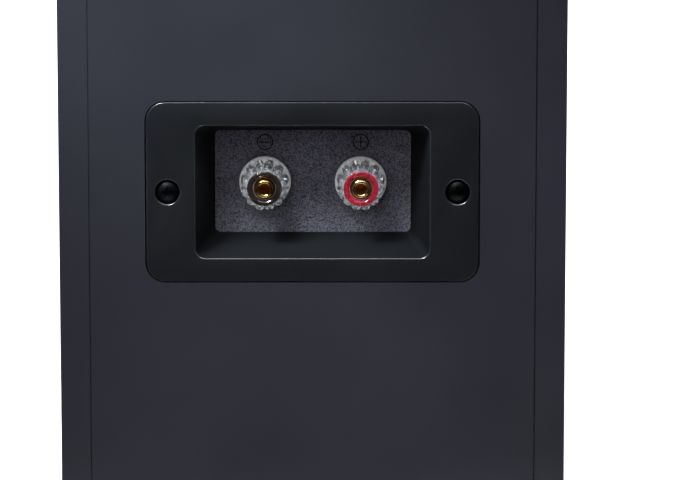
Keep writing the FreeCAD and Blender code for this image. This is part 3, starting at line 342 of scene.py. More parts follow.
def foamCells(name, values):
    # cut foam: a field of open cells
    material, shader = startMaterial(name, {"IOR": 1.45, "Specular IOR Level": 0.1})
    place = addNode(material, "ShaderNodeTexCoord").outputs["Object"]
    cells = addNode(material, "ShaderNodeTexVoronoi", {
        "Scale": metre / values["grain"]}, {"Vector": place}).outputs["Distance"]
    return finishSurface(material, shader, {"toneRange": (0.1, 0.7), **values}, cells, cells, cells)


def woundWire(name, values):
    # turn laid beside turn under clear enamel, drawn at twice the wire's width so that the turns show
    material, shader = startMaterial(name, {"Metallic": 0.85, "Coat Weight": 0.6, "Coat Roughness": 0.12})
    place = addNode(material, "ShaderNodeTexCoord").outputs["Object"]
    turns = addNode(material, "ShaderNodeTexWave", {
        "wave_type": "BANDS", "bands_direction": values["along"], "wave_profile": "SIN",
        "Scale": waveMetre / (2 * values["wire"]), "Distortion": 0.4, "Detail": 1.0},
        {"Vector": place}).outputs["Fac"]
    values = {"toneRange": (0.0, 0.6), "glossRange": (1, 0), **values}
    return finishSurface(material, shader, values, turns, turns, turns)


# slot: the finish's name, its recipe and its values; widths and depths in mm
finishes = {
    # calendered vinyl foil pressed on board; a blue-black satin that only shows a lamp as a soft haze
    "vinyl_board": ("satinBlackVinylWrap", wrapFoil, {
        "low": "1A1A1F", "high": "1F1F24", "specular": 0.14, "grain": 0.35, "depth": 0.02,
        "smooth": 0.42, "rough": 0.56}),
    # ABS from a spark-eroded mould; flat black that swallows light, so the cup reads darker than the panel
    "cup_plastic": ("mattBlackMouldedAbs", mouldedPlastic, {
        "low": "0B0C0E", "high": "0F1012", "specular": 0.1, "grain": 0.45, "depth": 0.05,
        "smooth": 0.45, "rough": 0.6}),
    # the same shot where the mould was eroded coarser; the grain is real, and its light grey speckle at the grain's
    # size is painted sparkle
    "cup_floor": ("coarseGrainPaintedSparkleAbs", mouldedPlastic, {
        "low": "16161A", "high": "64646F", "specular": 0.25, "grain": 0.4, "cloud": 0.4, "depth": 0.1, "smooth": 0.4,
        "rough": 0.6}),
    # its edges, where the mould was polished; their gloss draws the thin lit line round the mouth and the rim, and
    # their tone, lighter than the cup's, is painted highlight on that line
    "cup_lip": ("polishedAbsEdgePaintedHighlight", mouldedPlastic, {
        "low": "17181B", "high": "1E2023", "specular": 0.8, "grain": 0.45, "depth": 0.01,
        "smooth": 0.22, "rough": 0.3}),
    # near-black lines in place of the shade in the moulded sign grooves: painted shade; the deepest black, so the
    # signs read on the grey floor
    "sign_painted_shade": ("signGroovePaintedShade", mouldedPlastic, {
        "low": "060607", "high": "0C0C0E", "specular": 0.05, "grain": 0.45, "depth": 0.01,
        "smooth": 0.6, "rough": 0.7}),
    # brass inside the knob, its dull olive ring behind the gold tip darkened as painted shade of the narrow recess
    "insert_brass_painted_shade": ("paintedShadeTurnedBrass", cutMetal, {
        "low": "3A2C16", "high": "54401F", "grain": 0.3, "depth": 0.01, "smooth": 0.35, "rough": 0.5}),
    # punched from polyethylene foam; a dry black line with no shine
    "foam": ("blackCellFoam", foamCells, {
        "low": "0C0C0D", "high": "26272A", "grain": 0.8, "depth": 0.3, "smooth": 0.85, "rough": 1.0}),
    # cold-headed steel, blackened in hot oxide; small dark heads with a soft glint
    "black_screw": ("blackOxideSteel", cutMetal, {
        "low": "161718", "high": "222325", "grain": 0.2, "depth": 0.01, "smooth": 0.3, "rough": 0.5}),
    # injected acrylic, clear; bright flute edges with dark gaps between them
    "clear_plastic": ("clearMouldedAcrylic", clearPlastic, {
        "low": "C0C4C6", "high": "F2F4F5", "clear": 0.97, "grain": 1.4, "depth": 0.015,
        "smooth": 0.03, "rough": 0.1}),
    # smoke-tinted acrylic; a brown ring that lets a little light through
    "smoke_plastic": ("smokeTintedAcrylic", clearPlastic, {
        "low": "342C26", "high": "5C5044", "clear": 0.92, "grain": 1.2, "depth": 0.02,
        "smooth": 0.03, "rough": 0.12}),
    # red-dyed acrylic; the one strong colour, deep where it is thick
    "red_plastic": ("redDyedAcrylic", clearPlastic, {
        "low": "8E1626", "high": "C4384A", "clear": 0.65, "grain": 1.2, "depth": 0.02, "smooth": 0.05, "rough": 0.2}),
    # the same acrylic from a blasted mould; a pale frosted disc behind the knob
    "base_plastic": ("frostedAcrylic", clearPlastic, {
        "low": "D4D6D8", "high": "FFFFFF", "clear": 0.25, "grain": 0.9, "depth": 0.02, "smooth": 0.12, "rough": 0.3}),
    # turned brass, gold plated; warm sharp glints round a dark hole
    "post_metal": ("goldPlatedBrass", cutMetal, {
        "low": "D8A458", "high": "F0CC8C", "grain": 0.3, "depth": 0.01, "smooth": 0.08, "rough": 0.2,
        "stretch": (0.2, 6, 0.2)}),
    # polystyrene from a lightly grained mould; the flare shades evenly into the dark bore
    "port_plastic": ("satinBlackPolystyrene", mouldedPlastic, {
        "low": "16171A", "high": "1C1D20", "grain": 0.5, "depth": 0.04, "smooth": 0.38, "rough": 0.55}),
    # natural nylon, moulded; waxy ivory
    "nylon": ("naturalNylon", mouldedPlastic, {
        "low": "D8D4C6", "high": "E6E2D4", "grain": 0.6, "depth": 0.02, "smooth": 0.35, "rough": 0.5}),
    # cast cement with sand in it; chalky white
    "cement": ("castCement", mouldedPlastic, {
        "low": "C9C6BE", "high": "E2DFD8", "grain": 0.4, "depth": 0.12, "smooth": 0.8, "rough": 0.95, "cloud": 3}),
    # sawn softwood; pale stripes of grain
    "batten": ("sawnPine", fibreSheet, {
        "low": "A8794A", "high": "CFA06C", "grain": 1.2, "depth": 0.08, "smooth": 0.6, "rough": 0.85}),
    # routed fibreboard with no skin; a furry tan
    "raw_board": ("routedFibreboard", fibreSheet, {
        "low": "8A6A48", "high": "B08C62", "grain": 0.8, "depth": 0.06, "smooth": 0.75, "rough": 0.95}),
    # phenolic laminate, punched; speckled brown with a low shine
    "circuit_board": ("phenolicLaminate", mouldedPlastic, {
        "low": "8C5A28", "high": "A87238", "grain": 0.8, "depth": 0.02, "smooth": 0.35, "rough": 0.5, "cloud": 2}),
    # polyester sleeve shrunk on; glossy navy
    "capacitor_sleeve": ("navyShrinkSleeve", mouldedPlastic, {
        "low": "1D2A4C", "high": "26386A", "grain": 1.0, "depth": 0.03, "smooth": 0.2, "rough": 0.35}),
    # carded polyester, needled; white fluff with a pale halo at its edges
    "wadding": ("cardedPolyester", fibreSheet, {
        "low": "C8C8C4", "high": "F0F0EC", "grain": 1.6, "depth": 0.6, "smooth": 0.9, "rough": 1.0, "sheen": 0.4}),
    # nylon bush, moulded black; a quiet ring in the corner of the front
    "socket_plastic": ("blackMouldedNylon", mouldedPlastic, {
        "low": "0E0E0F", "high": "141416", "grain": 0.4, "depth": 0.02, "smooth": 0.4, "rough": 0.6}),
    # extruded PVC; smooth black wire
    "lead_insulation": ("extrudedBlackPvc", mouldedPlastic, {
        "low": "101012", "high": "1C1C20", "grain": 1.0, "depth": 0.02, "smooth": 0.3, "rough": 0.45}),
    # zinc-plated steel; cold bright flats
    "nut_steel": ("zincPlatedSteel", cutMetal, {
        "low": "A8AAAC", "high": "C8CACC", "grain": 0.2, "depth": 0.01, "smooth": 0.2, "rough": 0.35}),
    # moulded washer plastic; plain black
    "insulator": ("blackMouldedWasher", mouldedPlastic, {
        "low": "101011", "high": "17171A", "grain": 0.5, "depth": 0.02, "smooth": 0.4, "rough": 0.55}),
    # compression-moulded rubber; dull with a dusty bloom
    "foot_rubber": ("dustyBlackRubber", softRubber, {
        "low": "0D0D0E", "high": "17171A", "specular": 0.35, "grain": 0.4, "depth": 0.04,
        "smooth": 0.7, "rough": 0.9}),
    # dip-tinned brass; a soft grey shine with ripples
    "tinned": ("dipTinnedBrass", cutMetal, {
        "low": "B4B6B6", "high": "D4D6D4", "grain": 0.6, "depth": 0.03, "smooth": 0.3, "rough": 0.5}),
    # doped silk, heat-formed; black cloth whose edge catches a faint sheen, its thread drawn coarse to show
    "silk": ("dopedBlackSilk", wovenCloth, {
        "low": "0B0B0D", "high": "232327", "thread": 0.3, "depth": 0.05, "smooth": 0.5, "rough": 0.75}),
    # ABS from a finer mould; the horn rolls from grey to black without a step
    "horn_plastic": ("fineGrainAbs", mouldedPlastic, {
        "low": "0C0D0E", "high": "111214", "grain": 0.4, "depth": 0.03, "smooth": 0.35, "rough": 0.5}),
    # thick enamelled copper; fat glossy turns
    "coil_wire": ("enamelledWindings", woundWire, {
        "low": "6E2E12", "high": "C8703A", "along": "Z", "wire": 0.8, "depth": 0.25, "smooth": 0.2, "rough": 0.35}),
    # fine enamelled copper on a former; a close copper shimmer
    "coil_copper": ("fineCopperWindings", woundWire, {
        "low": "6E2E12", "high": "C8703A", "along": "Y", "wire": 0.3, "depth": 0.1, "smooth": 0.25, "rough": 0.4}),
    # pressed and sintered; dark stone grey
    "ferrite": ("sinteredFerrite", mouldedPlastic, {
        "low": "2A2A2C", "high": "363638", "grain": 0.5, "depth": 0.06, "smooth": 0.55, "rough": 0.75}),
    # resin-bonded paper; brown with a faint nap
    "strip_board": ("resinBondedPaper", fibreSheet, {
        "low": "6A4428", "high": "8C6038", "grain": 0.6, "depth": 0.02, "smooth": 0.45, "rough": 0.6}),
    # cold-forged steel, passivated; warm grey
    "motor_steel": ("passivatedForgedSteel", cutMetal, {
        "low": "9A9A96", "high": "BCBAB0", "grain": 0.25, "depth": 0.02, "smooth": 0.25, "rough": 0.4}),
    # pressed steel, powder coated; black with a slight orange peel
    "basket_metal": ("blackPowderCoat", mouldedPlastic, {
        "low": "101011", "high": "17171A", "grain": 0.5, "depth": 0.04, "smooth": 0.3, "rough": 0.45}),
    # felted pulp, dyed through; a soft black that stays dark beside the rubber
    "cone_paper": ("dyedPulpCone", fibreSheet, {
        "low": "08080A", "high": "141417", "grain": 0.7, "depth": 0.06, "smooth": 0.55, "rough": 0.75}),
    # thermoformed film; the glossiest black on the front, one soft highlight
    "cap_plastic": ("glossBlackFilm", mouldedPlastic, {
        "low": "0D0D0F", "high": "141417", "grain": 0.5, "depth": 0.01, "smooth": 0.2, "rough": 0.3}),
    # resin-stiffened cotton; honey-coloured weave
    "spider_cloth": ("stiffenedCotton", wovenCloth, {
        "low": "9A7A3A", "high": "D0AC62", "thread": 0.6, "depth": 0.1, "smooth": 0.7, "rough": 0.9}),
    # moulded butyl; a satin roll with a wide highlight
    "surround_rubber": ("satinButylRubber", softRubber, {
        "low": "0B0B0C", "high": "101011", "specular": 0.5, "grain": 0.4, "depth": 0.02,
        "smooth": 0.36, "rough": 0.5}),
    # aluminium turned and anodised graphite; rings that smear a lamp into a band, coarser than a lathe's feed
    # so that they show
    "trim_metal": ("graphiteTurnedAluminium", turnedMetal, {
        "low": "34363A", "high": "3C3E42", "ring": 0.5, "depth": 0.02, "smooth": 0.3, "rough": 0.38,
        "centre": wooferCentre}),
    # fine copper strands, braided; a rough copper cord
    "braid": ("braidedCopper", woundWire, {
        "low": "8A4A20", "high": "D68A50", "along": "Y", "wire": 0.35, "depth": 0.1, "smooth": 0.3, "rough": 0.45}),
}

made = {slot: recipe(name, values) for slot, (name, recipe, values) in finishes.items()}
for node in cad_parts:
    for holder in bpy.data.objects[node].material_slots:
        holder.material = made[holder.material.name.split(".")[0]]
# the inserts in the narrow recess behind the tips take the dark brass, painted shade
for node in ("knob_insert_positive", "knob_insert_negative"):
    bpy.data.objects[node].material_slots[0].material = made["insert_brass_painted_shade"]
print("finishes made:", len(made))


def activate(piece):
    clearSelection()
    piece.select_set(True)
    bpy.context.view_layer.objects.active = piece


def clearSelection():
    if bpy.context.object and bpy.context.object.mode == "EDIT":
        bpy.ops.object.mode_set(mode="OBJECT")
    bpy.ops.object.select_all(action="DESELECT")


def pick(test):
    # in edit mode, selects the points that pass the test and what lies between them
    bpy.ops.mesh.select_mode(type="VERT")
    bpy.ops.mesh.select_all(action="DESELECT")
    mesh = bmesh.from_edit_mesh(bpy.context.object.data)
    for vertex in mesh.verts:
        if test(vertex.co):
            vertex.select_set(True)
    mesh.select_flush(True)
    bmesh.update_edit_mesh(bpy.context.object.data)


def startEdit():
    bpy.ops.object.mode_set(mode="EDIT")
    bpy.ops.mesh.select_all(action="SELECT")


def closeEdit():
    bpy.ops.mesh.select_all(action="SELECT")
    bpy.ops.mesh.remove_doubles(threshold=0.000002)
    bpy.ops.mesh.normals_make_consistent(inside=False)
    bpy.ops.object.mode_set(mode="OBJECT")


def spinPiece(outline, steps=96):
    # one corner is drawn along the outline, in mm, and spun about z
    clearSelection()
    bpy.ops.mesh.primitive_plane_add(size=mm, location=(outline[0][0] * mm, 0, outline[0][1] * mm))
    bpy.ops.object.transform_apply(location=True)
    startEdit()
    bpy.ops.mesh.merge(type="CENTER")
    for before, after in zip(outline, outline[1:]):
        bpy.ops.mesh.extrude_vertices_move(TRANSFORM_OT_translate={
            "value": ((after[0] - before[0]) * mm, 0, (after[1] - before[1]) * mm)})
    bpy.ops.mesh.select_all(action="SELECT")
    bpy.ops.mesh.spin(steps=steps, angle=2 * math.pi, center=(0, 0, 0), axis=(0, 0, 1))
    closeEdit()
    return bpy.context.object


def arc(centre, radius, start, end, count=6):
    # points of an outline round a corner, angles in degrees
    return [(centre[0] + radius * math.cos(math.radians(start + (end - start) * step / count)),
             centre[1] + radius * math.sin(math.radians(start + (end - start) * step / count)))
            for step in range(count + 1)]


def crown(inner, outer, level, rise, count):
    # points of a rounded crest that starts and ends at one level
    half = (outer - inner) / 2
    radius = (half * half + rise * rise) / (2 * rise)
    edge = math.degrees(math.asin(half / radius))
    return arc(((inner + outer) / 2, level + rise - radius), radius, 90 + edge, 90 - edge, count)


def dome(radius, level, rise, count):
    # the outer half of such a crest, from its edge up to the axis
    sphere = (radius * radius + rise * rise) / (2 * rise)
    edge = math.degrees(math.asin(radius / sphere))
    points = arc((0, level + rise - sphere), sphere, 90 - edge, 90, count)
    return points[:-1] + [(0, level + rise)]


def sweepThrough(start, middle, end, count):
    # points of an even curve through three places
    points = []
    for step in range(count + 1):
        t = step / count
        shares = ((1 - t) * (1 - 2 * t), 4 * t * (1 - t), t * (2 * t - 1))
        points.append(tuple(sum(share * place[axis] for share, place in zip(shares, (start, middle, end)))
                            for axis in (0, 1)))
    return points


def ringOfPlaces(values):
    # where the screws of a ring stand, from the ring's own values
    turns = [math.radians(values["first"] + 360 * step / values["count"]) for step in range(values["count"])]
    return [(values["circle"] * math.cos(turn), values["circle"] * math.sin(turn)) for turn in turns]


def applyModifier(piece, kind, **settings):
    activate(piece)
    modifier = piece.modifiers.new(kind.title(), kind)
    for name, value in settings.items():
        setattr(modifier, name, value)
    bpy.ops.object.modifier_apply(modifier=modifier.name)


def roundEdges(piece, width, segments):
    applyModifier(piece, "BEVEL", width=width * mm, segments=segments, limit_method="ANGLE",
                  angle_limit=math.radians(30), use_clamp_overlap=True, miter_outer="MITER_ARC")


def carve(piece, cutter):
    applyModifier(piece, "BOOLEAN", operation="DIFFERENCE", object=cutter, solver="MANIFOLD")
    bpy.data.objects.remove(cutter)


def joinPieces(pieces):
    clearSelection()
    for piece in pieces:
        piece.select_set(True)
    bpy.context.view_layer.objects.active = pieces[0]
    bpy.ops.object.join()
    return bpy.context.object


def copyTo(piece, places):
    # one modelled piece repeated, each copy with its own mesh, and all joined
    copies = []
    for across, along in places:
        copy = piece.copy()
        copy.data = piece.data.copy()
        bpy.context.collection.objects.link(copy)
        copy.location = (across * mm, along * mm, 0)
        copies.append(copy)
    bpy.data.objects.remove(piece)
    clearSelection()
    for copy in copies:
        copy.select_set(True)
    bpy.context.view_layer.objects.active = copies[0]
    bpy.ops.object.transform_apply(location=True)
    return joinPieces(copies)


def settle(piece, name, centre, facing, body, slotName, replaced, smooth):
    # turns a finished piece to its side, sets it down on its body and gives it its finish
    activate(piece)
    piece.rotation_euler = facing
    piece.location = centre
    bpy.ops.object.transform_apply(location=True, rotation=True, scale=True)
    bpy.ops.object.shade_smooth_by_angle(angle=math.radians(smooth))
    piece.name = name
    piece.data.name = name
    piece.data.materials.clear()
    piece.data.materials.append(made[slotName])
    if body:
        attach(piece, body)
    if replaced:
        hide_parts(*replaced)
    return piece


def bendBetween(piece):
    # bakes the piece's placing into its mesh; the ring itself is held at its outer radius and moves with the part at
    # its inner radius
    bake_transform(piece)


# the cup's outlines are its width, height and corner radius, in mm
cupValues = {
    "flange": (118, 64.4, 6.8), "mouth": (83.4, 47.8, 3.6), "floor": (71, 37.6, 2.4), "cornerSteps": 10,
    "thickness": 4, "depth": 25, "wall": 2.2, "edge": 0.55, "lipDepth": 1.5,
    "screwAcross": 51.5, "counterbore": 4.45, "counterboreDepth": 2.4}
cupFloor = rearFace - cupValues["depth"] * mm


def startPlate(width, height, corner, level):
    # a flat plate with round corners, left in edit mode with its face selected
    clearSelection()
    bpy.ops.mesh.primitive_plane_add(size=mm, location=(0, 0, level * mm))
    bpy.ops.object.transform_apply(location=True)
    startEdit()
    bpy.ops.transform.resize(value=(width, height, 1), center_override=(0, 0, level * mm))
    bpy.ops.mesh.bevel(offset=corner * mm, segments=cupValues["cornerSteps"], affect="VERTICES", clamp_overlap=False)
    bpy.ops.mesh.select_all(action="SELECT")


def pullTo(before, after):
    # the selected plate is pulled on to its next outline: each corner is scaled, then moved to its place
    width, height, corner, level = before
    newWidth, newHeight, newCorner, newLevel = after
    aside = 60  # clear of every other outline
    close = 0.01 * mm
    bpy.ops.mesh.extrude_region_move(TRANSFORM_OT_translate={"value": (0, 0, (aside - level) * mm)})
    for xSign, ySign in ((1, 1), (-1, 1), (-1, -1), (1, -1)):
        pick(lambda place: abs(place.z - aside * mm) < close and place.x * xSign > 0 and place.y * ySign > 0)
        across, along = width / 2 - corner, height / 2 - corner
        share = newCorner / corner
        bpy.ops.transform.resize(value=(share, share, 1), center_override=(
            xSign * across * mm, ySign * along * mm, aside * mm))
        bpy.ops.transform.translate(value=(
            xSign * (newWidth / 2 - newCorner - across) * mm, ySign * (newHeight / 2 - newCorner - along) * mm,
            (newLevel - aside) * mm))

    def onEdge(place):
        past = max(abs(place.x) - newWidth / 2 * mm, abs(place.y) - newHeight / 2 * mm)
        return abs(place.z - newLevel * mm) < close and -newCorner * mm * 0.35 < past < close

    pick(onEdge)


def makeCup():
    values = cupValues
    wall, depth, thickness = values["wall"], values["depth"], values["thickness"]
    mouth, floor, flange = values["mouth"], values["floor"], values["flange"]
    outlines = [
        (floor[0] + 2 * wall, floor[1] + 2 * wall, floor[2] + wall, -depth - wall),
        (mouth[0] + 2 * wall, mouth[1] + 2 * wall, mouth[2] + wall, -thickness),
        flange + (-thickness,), flange + (0,), mouth + (0,), floor + (-depth,)]
    startPlate(*outlines[0])
    for before, after in zip(outlines, outlines[1:]):
        pullTo(before, after)
    closeEdit()
    cup = bpy.context.object
    for side in (-1, 1):
        clearSelection()
        bpy.ops.mesh.primitive_cylinder_add(
            vertices=64, radius=values["counterbore"] * mm, depth=2 * values["counterboreDepth"] * mm,
            location=(side * values["screwAcross"] * mm, 0, 0))
        carve(cup, bpy.context.object)
    roundEdges(cup, values["edge"], 4)
    settle(cup, "terminalCup", cupCentre, facingRear, "root", "cup_plastic", ["terminal_cup"], 35)
    cup.data.materials.append(made["cup_floor"])
    cup.data.materials.append(made["cup_lip"])
    for face in cup.data.polygons:
        # the floor faces take the coarse grain with its painted sparkle
        if abs(face.center.y - cupFloor) < 0.2 * mm and face.normal.y > 0.9:
            face.material_index = 1
        # the rounded edge faces take the polished finish, whose lighter tone is painted highlight
        elif 0.25 < face.normal.y < 0.93 and face.center.y > rearFace - values["lipDepth"] * mm:
            face.material_index = 2


makeCup()

signValues = {"across": 17.2, "up": 14.2, "ring": 2.75, "line": 0.35, "bar": 4.3, "proud": 0.06, "sunk": -0.05}


def makeSigns():
    # thin near-black lines set in the cup's floor, painted shade in place of moulded grooves: a bar in a ring, and a
    # cross in a ring
    values = signValues
    line, proud, sunk = values["line"], values["proud"], values["sunk"]
    inside, outside = values["ring"] - line / 2, values["ring"] + line / 2
    for side, name, turns in ((-1, "plusSign", (0, 90)), (1, "minusSign", (0,))):
        parts = [spinPiece([(inside, sunk), (outside, sunk), (outside, proud), (inside, proud), (inside, sunk)], 64)]
        for angle in turns:
            clearSelection()
            bpy.ops.mesh.primitive_cube_add(size=mm, location=(0, 0, 0))
            bar = bpy.context.object
            bar.scale = (values["bar"], line, proud * 2)
            bar.rotation_euler.z = math.radians(angle)
            bpy.ops.object.transform_apply(rotation=True, scale=True)
            parts.append(bar)
        place = cupCentre + Vector((side * values["across"] * mm, -cupValues["depth"] * mm, values["up"] * mm))
        sign = settle(joinPieces(parts), name, place, facingRear, "root", "insulator", (), 30)
        # the lines take the near-black painted shade
        sign.data.materials[0] = made["sign_painted_shade"]


makeSigns()
print("terminal cup and its signs made")

cupScrewValues = {
    "head": 4.05, "seat": -2.4, "brim": -1.45, "crown": -0.12, "shank": 1.9, "tip": -11.4, "point": 1.8,
    "slotLength": 4.4, "slotWidth": 0.85, "slotDepth": 1.5, "over": 0.4, "edge": 0.14}
slotTaper = 0.6  # how much narrower a cross slot is at its floor


def cutCross(screw, length, width, top, depth):
    # two tapered bars, crossed, taken out of the head
    for angle in (0, 90):
        clearSelection()
        bpy.ops.mesh.primitive_cube_add(size=mm, location=(0, 0, (top - depth / 2) * mm))
        bar = bpy.context.object
        bar.scale = (length, width, depth) if angle == 0 else (width, length, depth)
        bpy.ops.object.transform_apply(location=True, scale=True)
        bpy.ops.object.mode_set(mode="EDIT")
        pick(lambda place: place.z < (top - depth / 2) * mm)
        bpy.ops.transform.resize(value=(slotTaper, slotTaper, 1), center_override=(0, 0, (top - depth) * mm))
        bpy.ops.object.mode_set(mode="OBJECT")
        carve(screw, bar)


def makeCupScrews():
    values = cupScrewValues
    head, shank, crownLevel = values["head"], values["shank"], values["crown"]
    screw = spinPiece([(0, values["tip"]), (shank, values["tip"] + values["point"]), (shank, values["seat"]),
                       (head, values["seat"])] + dome(head, values["brim"], crownLevel - values["brim"], 10), 72)
    cutCross(screw, values["slotLength"], values["slotWidth"], crownLevel + values["over"], values["slotDepth"])
    roundEdges(screw, values["edge"], 2)
    screws = copyTo(screw, [(-cupValues["screwAcross"], 0), (cupValues["screwAcross"], 0)])
    settle(screws, "cupScrews", cupCentre, facingRear, "root", "black_screw", ["cup_screws"], 35)


makeCupScrews()

# binding posts: heights are from the floor of the cup
postValues = {
    "radius": 3.2, "bore": 2.1, "tip": 18.8, "boreEnd": 3.8, "drillPoint": 1.2, "tail": -12.4, "chamfer": 0.5,
    "outerRound": 0.45, "innerRound": 0.35, "threadStart": 6.0, "threadEnd": 17.2, "pitch": 0.8, "threadDepth": 0.28}


def onFloor(node):
    # the node's own axis, where it meets the floor of the cup
    place = middleOf(node)
    place.y = cupFloor
    return place


def makePosts():
    values = postValues
    radius, bore, tip, tail = values["radius"], values["bore"], values["tip"], values["tail"]
    outside, inside = values["outerRound"], values["innerRound"]
    outline = [(0, tail), (radius - values["chamfer"], tail), (radius, tail + values["chamfer"])]
    level = values["threadStart"]
    while level < values["threadEnd"]:
        outline += [(radius, level), (radius - values["threadDepth"], level + values["pitch"] / 2)]
        level += values["pitch"]
    outline += [(radius, level)] + arc((radius - outside, tip - outside), outside, 0, 90)
    outline += arc((bore + inside, tip - inside), inside, 90, 180)
    outline += [(bore, values["boreEnd"]), (0, values["boreEnd"] - values["drillPoint"])]
    for pole in ("positive", "negative"):
        settle(spinPiece(outline), pole + "Post", onFloor("post_" + pole), facingRear, "root", "post_metal",
               ["post_" + pole], 50)


makePosts()

baseValues = {
    "radius": 9.3, "height": 4, "neck": 4.4, "inside": 3.25, "under": -2.2, "chamfer": 0.25,
    "edge": 0.5, "shoulder": 2.0, "slope": 58, "face": 6.2}


def makeBases():
    values = baseValues
    radius, height, inside, under = values["radius"], values["height"], values["inside"], values["under"]
    neck, chamfer, edge = values["neck"], values["chamfer"], values["edge"]
    outline = [(inside, under), (neck, under), (neck, 0), (radius - chamfer, 0), (radius, chamfer)]
    outline += arc((radius - edge, values["shoulder"]), edge, 0, values["slope"])
    outline += [(values["face"], height), (inside, height), (inside, under)]
    across = (middleOf("post_negative").x - middleOf("post_positive").x) / 2 / mm
    bases = copyTo(spinPiece(outline, 128), [(-across, 0), (across, 0)])
    place = cupCentre - Vector((0, cupValues["depth"] * mm, 0))
    settle(bases, "postBases", place, facingRear, "root", "base_plastic", ["post_bases"], 50)


makeBases()

# the outline gives the radius over the ridges and the height; a flute takes the shares of that radius
knobValues = {
    "outline": [(8.35, 4.4), (8.7, 4.65), (8.8, 5.1), (8.72, 7), (8.55, 10.4), (8.32, 15.2), (8.2, 16.0),
                (7.9, 16.8), (7.45, 17.6), (7.1, 18.15), (6.85, 18.4)],
    "fluteShares": (0.906, 0.912, 0.930, 0.971), "flutes": 12, "fluteSteps": 12,
    "ringSeat": 6.4, "seatLevel": 16.7, "seatEdge": 0.05, "bore": 3.95}


def pullRing(before, after):
    # the selected ring is pulled on to its next radius and height
    bpy.ops.mesh.extrude_region_move(TRANSFORM_OT_translate={"value": (0, 0, (after[1] - before[1]) * mm)})
    share = after[0] / before[0]
    bpy.ops.transform.resize(value=(share, share, 1), center_override=(0, 0, 0))


def makeKnob(pole):
    values = knobValues
    outline, steps = values["outline"], values["fluteSteps"]
    count = values["flutes"] * steps
    seat, bore, floor = values["ringSeat"], values["bore"], values["seatLevel"]
    top, low = outline[-1][1], outline[0][1]
    seatTop = top - values["seatEdge"]
    clearSelection()
    bpy.ops.mesh.primitive_circle_add(vertices=count, radius=outline[0][0] * mm, location=(0, 0, low * mm))
    bpy.ops.object.transform_apply(location=True)
    bpy.ops.object.mode_set(mode="EDIT")

    def fromFlute(place):
        step = round(math.atan2(place.y, place.x) / (2 * math.pi) * count) % steps
        return min(step, steps - step)

    for step, share in enumerate(values["fluteShares"]):
        pick(lambda place: fromFlute(place) == step)
        bpy.ops.transform.resize(value=(share, share, 1), center_override=(0, 0, 0))
    bpy.ops.mesh.select_all(action="SELECT")
    for before, after in zip(outline, outline[1:]):
        pullRing(before, after)
    bpy.ops.mesh.primitive_circle_add(vertices=count, radius=seat * mm, location=(0, 0, seatTop * mm))
    inner = [(seat, seatTop), (seat, floor), (bore, floor), (bore, low)]
    for before, after in zip(inner, inner[1:]):
        pullRing(before, after)

    def atLevel(place, level):
        return abs(place.z / mm - level) < 0.01

    def onSeat(place):
        return atLevel(place, seatTop) and math.hypot(place.x, place.y) / mm < seat + 0.01

    pick(lambda place: atLevel(place, top) or onSeat(place))
    bpy.ops.mesh.bridge_edge_loops()
    pick(lambda place: atLevel(place, low))
    bpy.ops.mesh.bridge_edge_loops()
    closeEdit()
    knob = settle(bpy.context.object, pole + "Knob", onFloor("knob_" + pole), facingRear, pole + "_knob",
                  "clear_plastic", ["knob_" + pole], 30)
    knob.visible_shadow = False  # clear, so lamps reach the disc behind it


# two fine grooves in its face catch a line of light each
ringValues = {
    "outline": [(4.05, 16.82), (6.26, 16.82), (6.26, 17.95), (6.16, 18.18), (5.95, 18.3), (5.66, 18.3),
                (5.54, 18.1), (5.42, 18.3), (5.06, 18.3), (4.94, 18.1), (4.82, 18.26), (4.5, 18.05), (4.1, 17.5),
                (4.05, 16.82)]}


def makeRing(pole, slotName):
    settle(spinPiece(ringValues["outline"]), pole + "Ring", onFloor("knob_" + pole), facingRear, pole + "_slider",
           slotName, ["polarity_ring_" + pole], 50)


for pole, ringSlot in (("positive", "red_plastic"), ("negative", "smoke_plastic")):
    makeKnob(pole)
    makeRing(pole, ringSlot)
print("binding posts and knobs made")

# the groove's places are measured in from the outer radius
wooferTrimValues = {
    "lip": 59, "outer": 74, "height": 4, "innerRound": 2.2, "outerRound": 3,
    "groove": ((4.2, 0), (4.0, 0.3), (3.5, 0.3), (3.3, 0)),
    "circle": 66.5, "count": 6, "first": 30, "holeRadius": 3.4, "holeFloor": 1.2}


def makeWooferTrim():
    values = wooferTrimValues
    lip, outer, height = values["lip"], values["outer"], values["height"]
    small, large, hole, floor = values["innerRound"], values["outerRound"], values["holeRadius"], values["holeFloor"]
    outline = [(lip, 0)] + arc((lip + small, height - small), small, 180, 90, 8)
    outline += [(outer - inward, height - deep) for inward, deep in values["groove"]]
    outline += arc((outer - large, height - large), large, 90, 0, 10) + [(outer, 0), (lip, 0)]
    trim = spinPiece(outline, 144)
    cutter = spinPiece([(0, floor), (hole, floor), (hole, height + 1), (0, height + 1)], 40)
    carve(trim, copyTo(cutter, ringOfPlaces(values)))
    settle(trim, "wooferTrim", wooferCentre, facingFront, "root", "trim_metal", ["woofer_trim_ring"], 30)


makeWooferTrim()

surroundValues = {
    "lip": 43.8, "inner": 46.5, "mouth": 56, "outer": 59, "roll": 3.3, "skin": 0.6, "fillet": 0.2, "steps": 20}


def makeSurround():
    values = surroundValues
    inner, mouth, skin, roll = values["inner"], values["mouth"], values["skin"], values["roll"]
    lip, outer, fillet, steps = values["lip"], values["outer"], values["fillet"], values["steps"]
    under = [(lip, 0)] + crown(inner, mouth, 0, roll, steps) + [(outer, 0)]
    over = [(outer, skin)] + crown(inner - fillet, mouth + fillet, skin, roll, steps)[::-1] + [(lip, skin)]
    piece = settle(spinPiece(under + over + under[:1], 128), "wooferSurround", wooferCentre, facingFront, None,
                   "surround_rubber", ["woofer_surround"], 50)
    bendBetween(piece)


makeSurround()

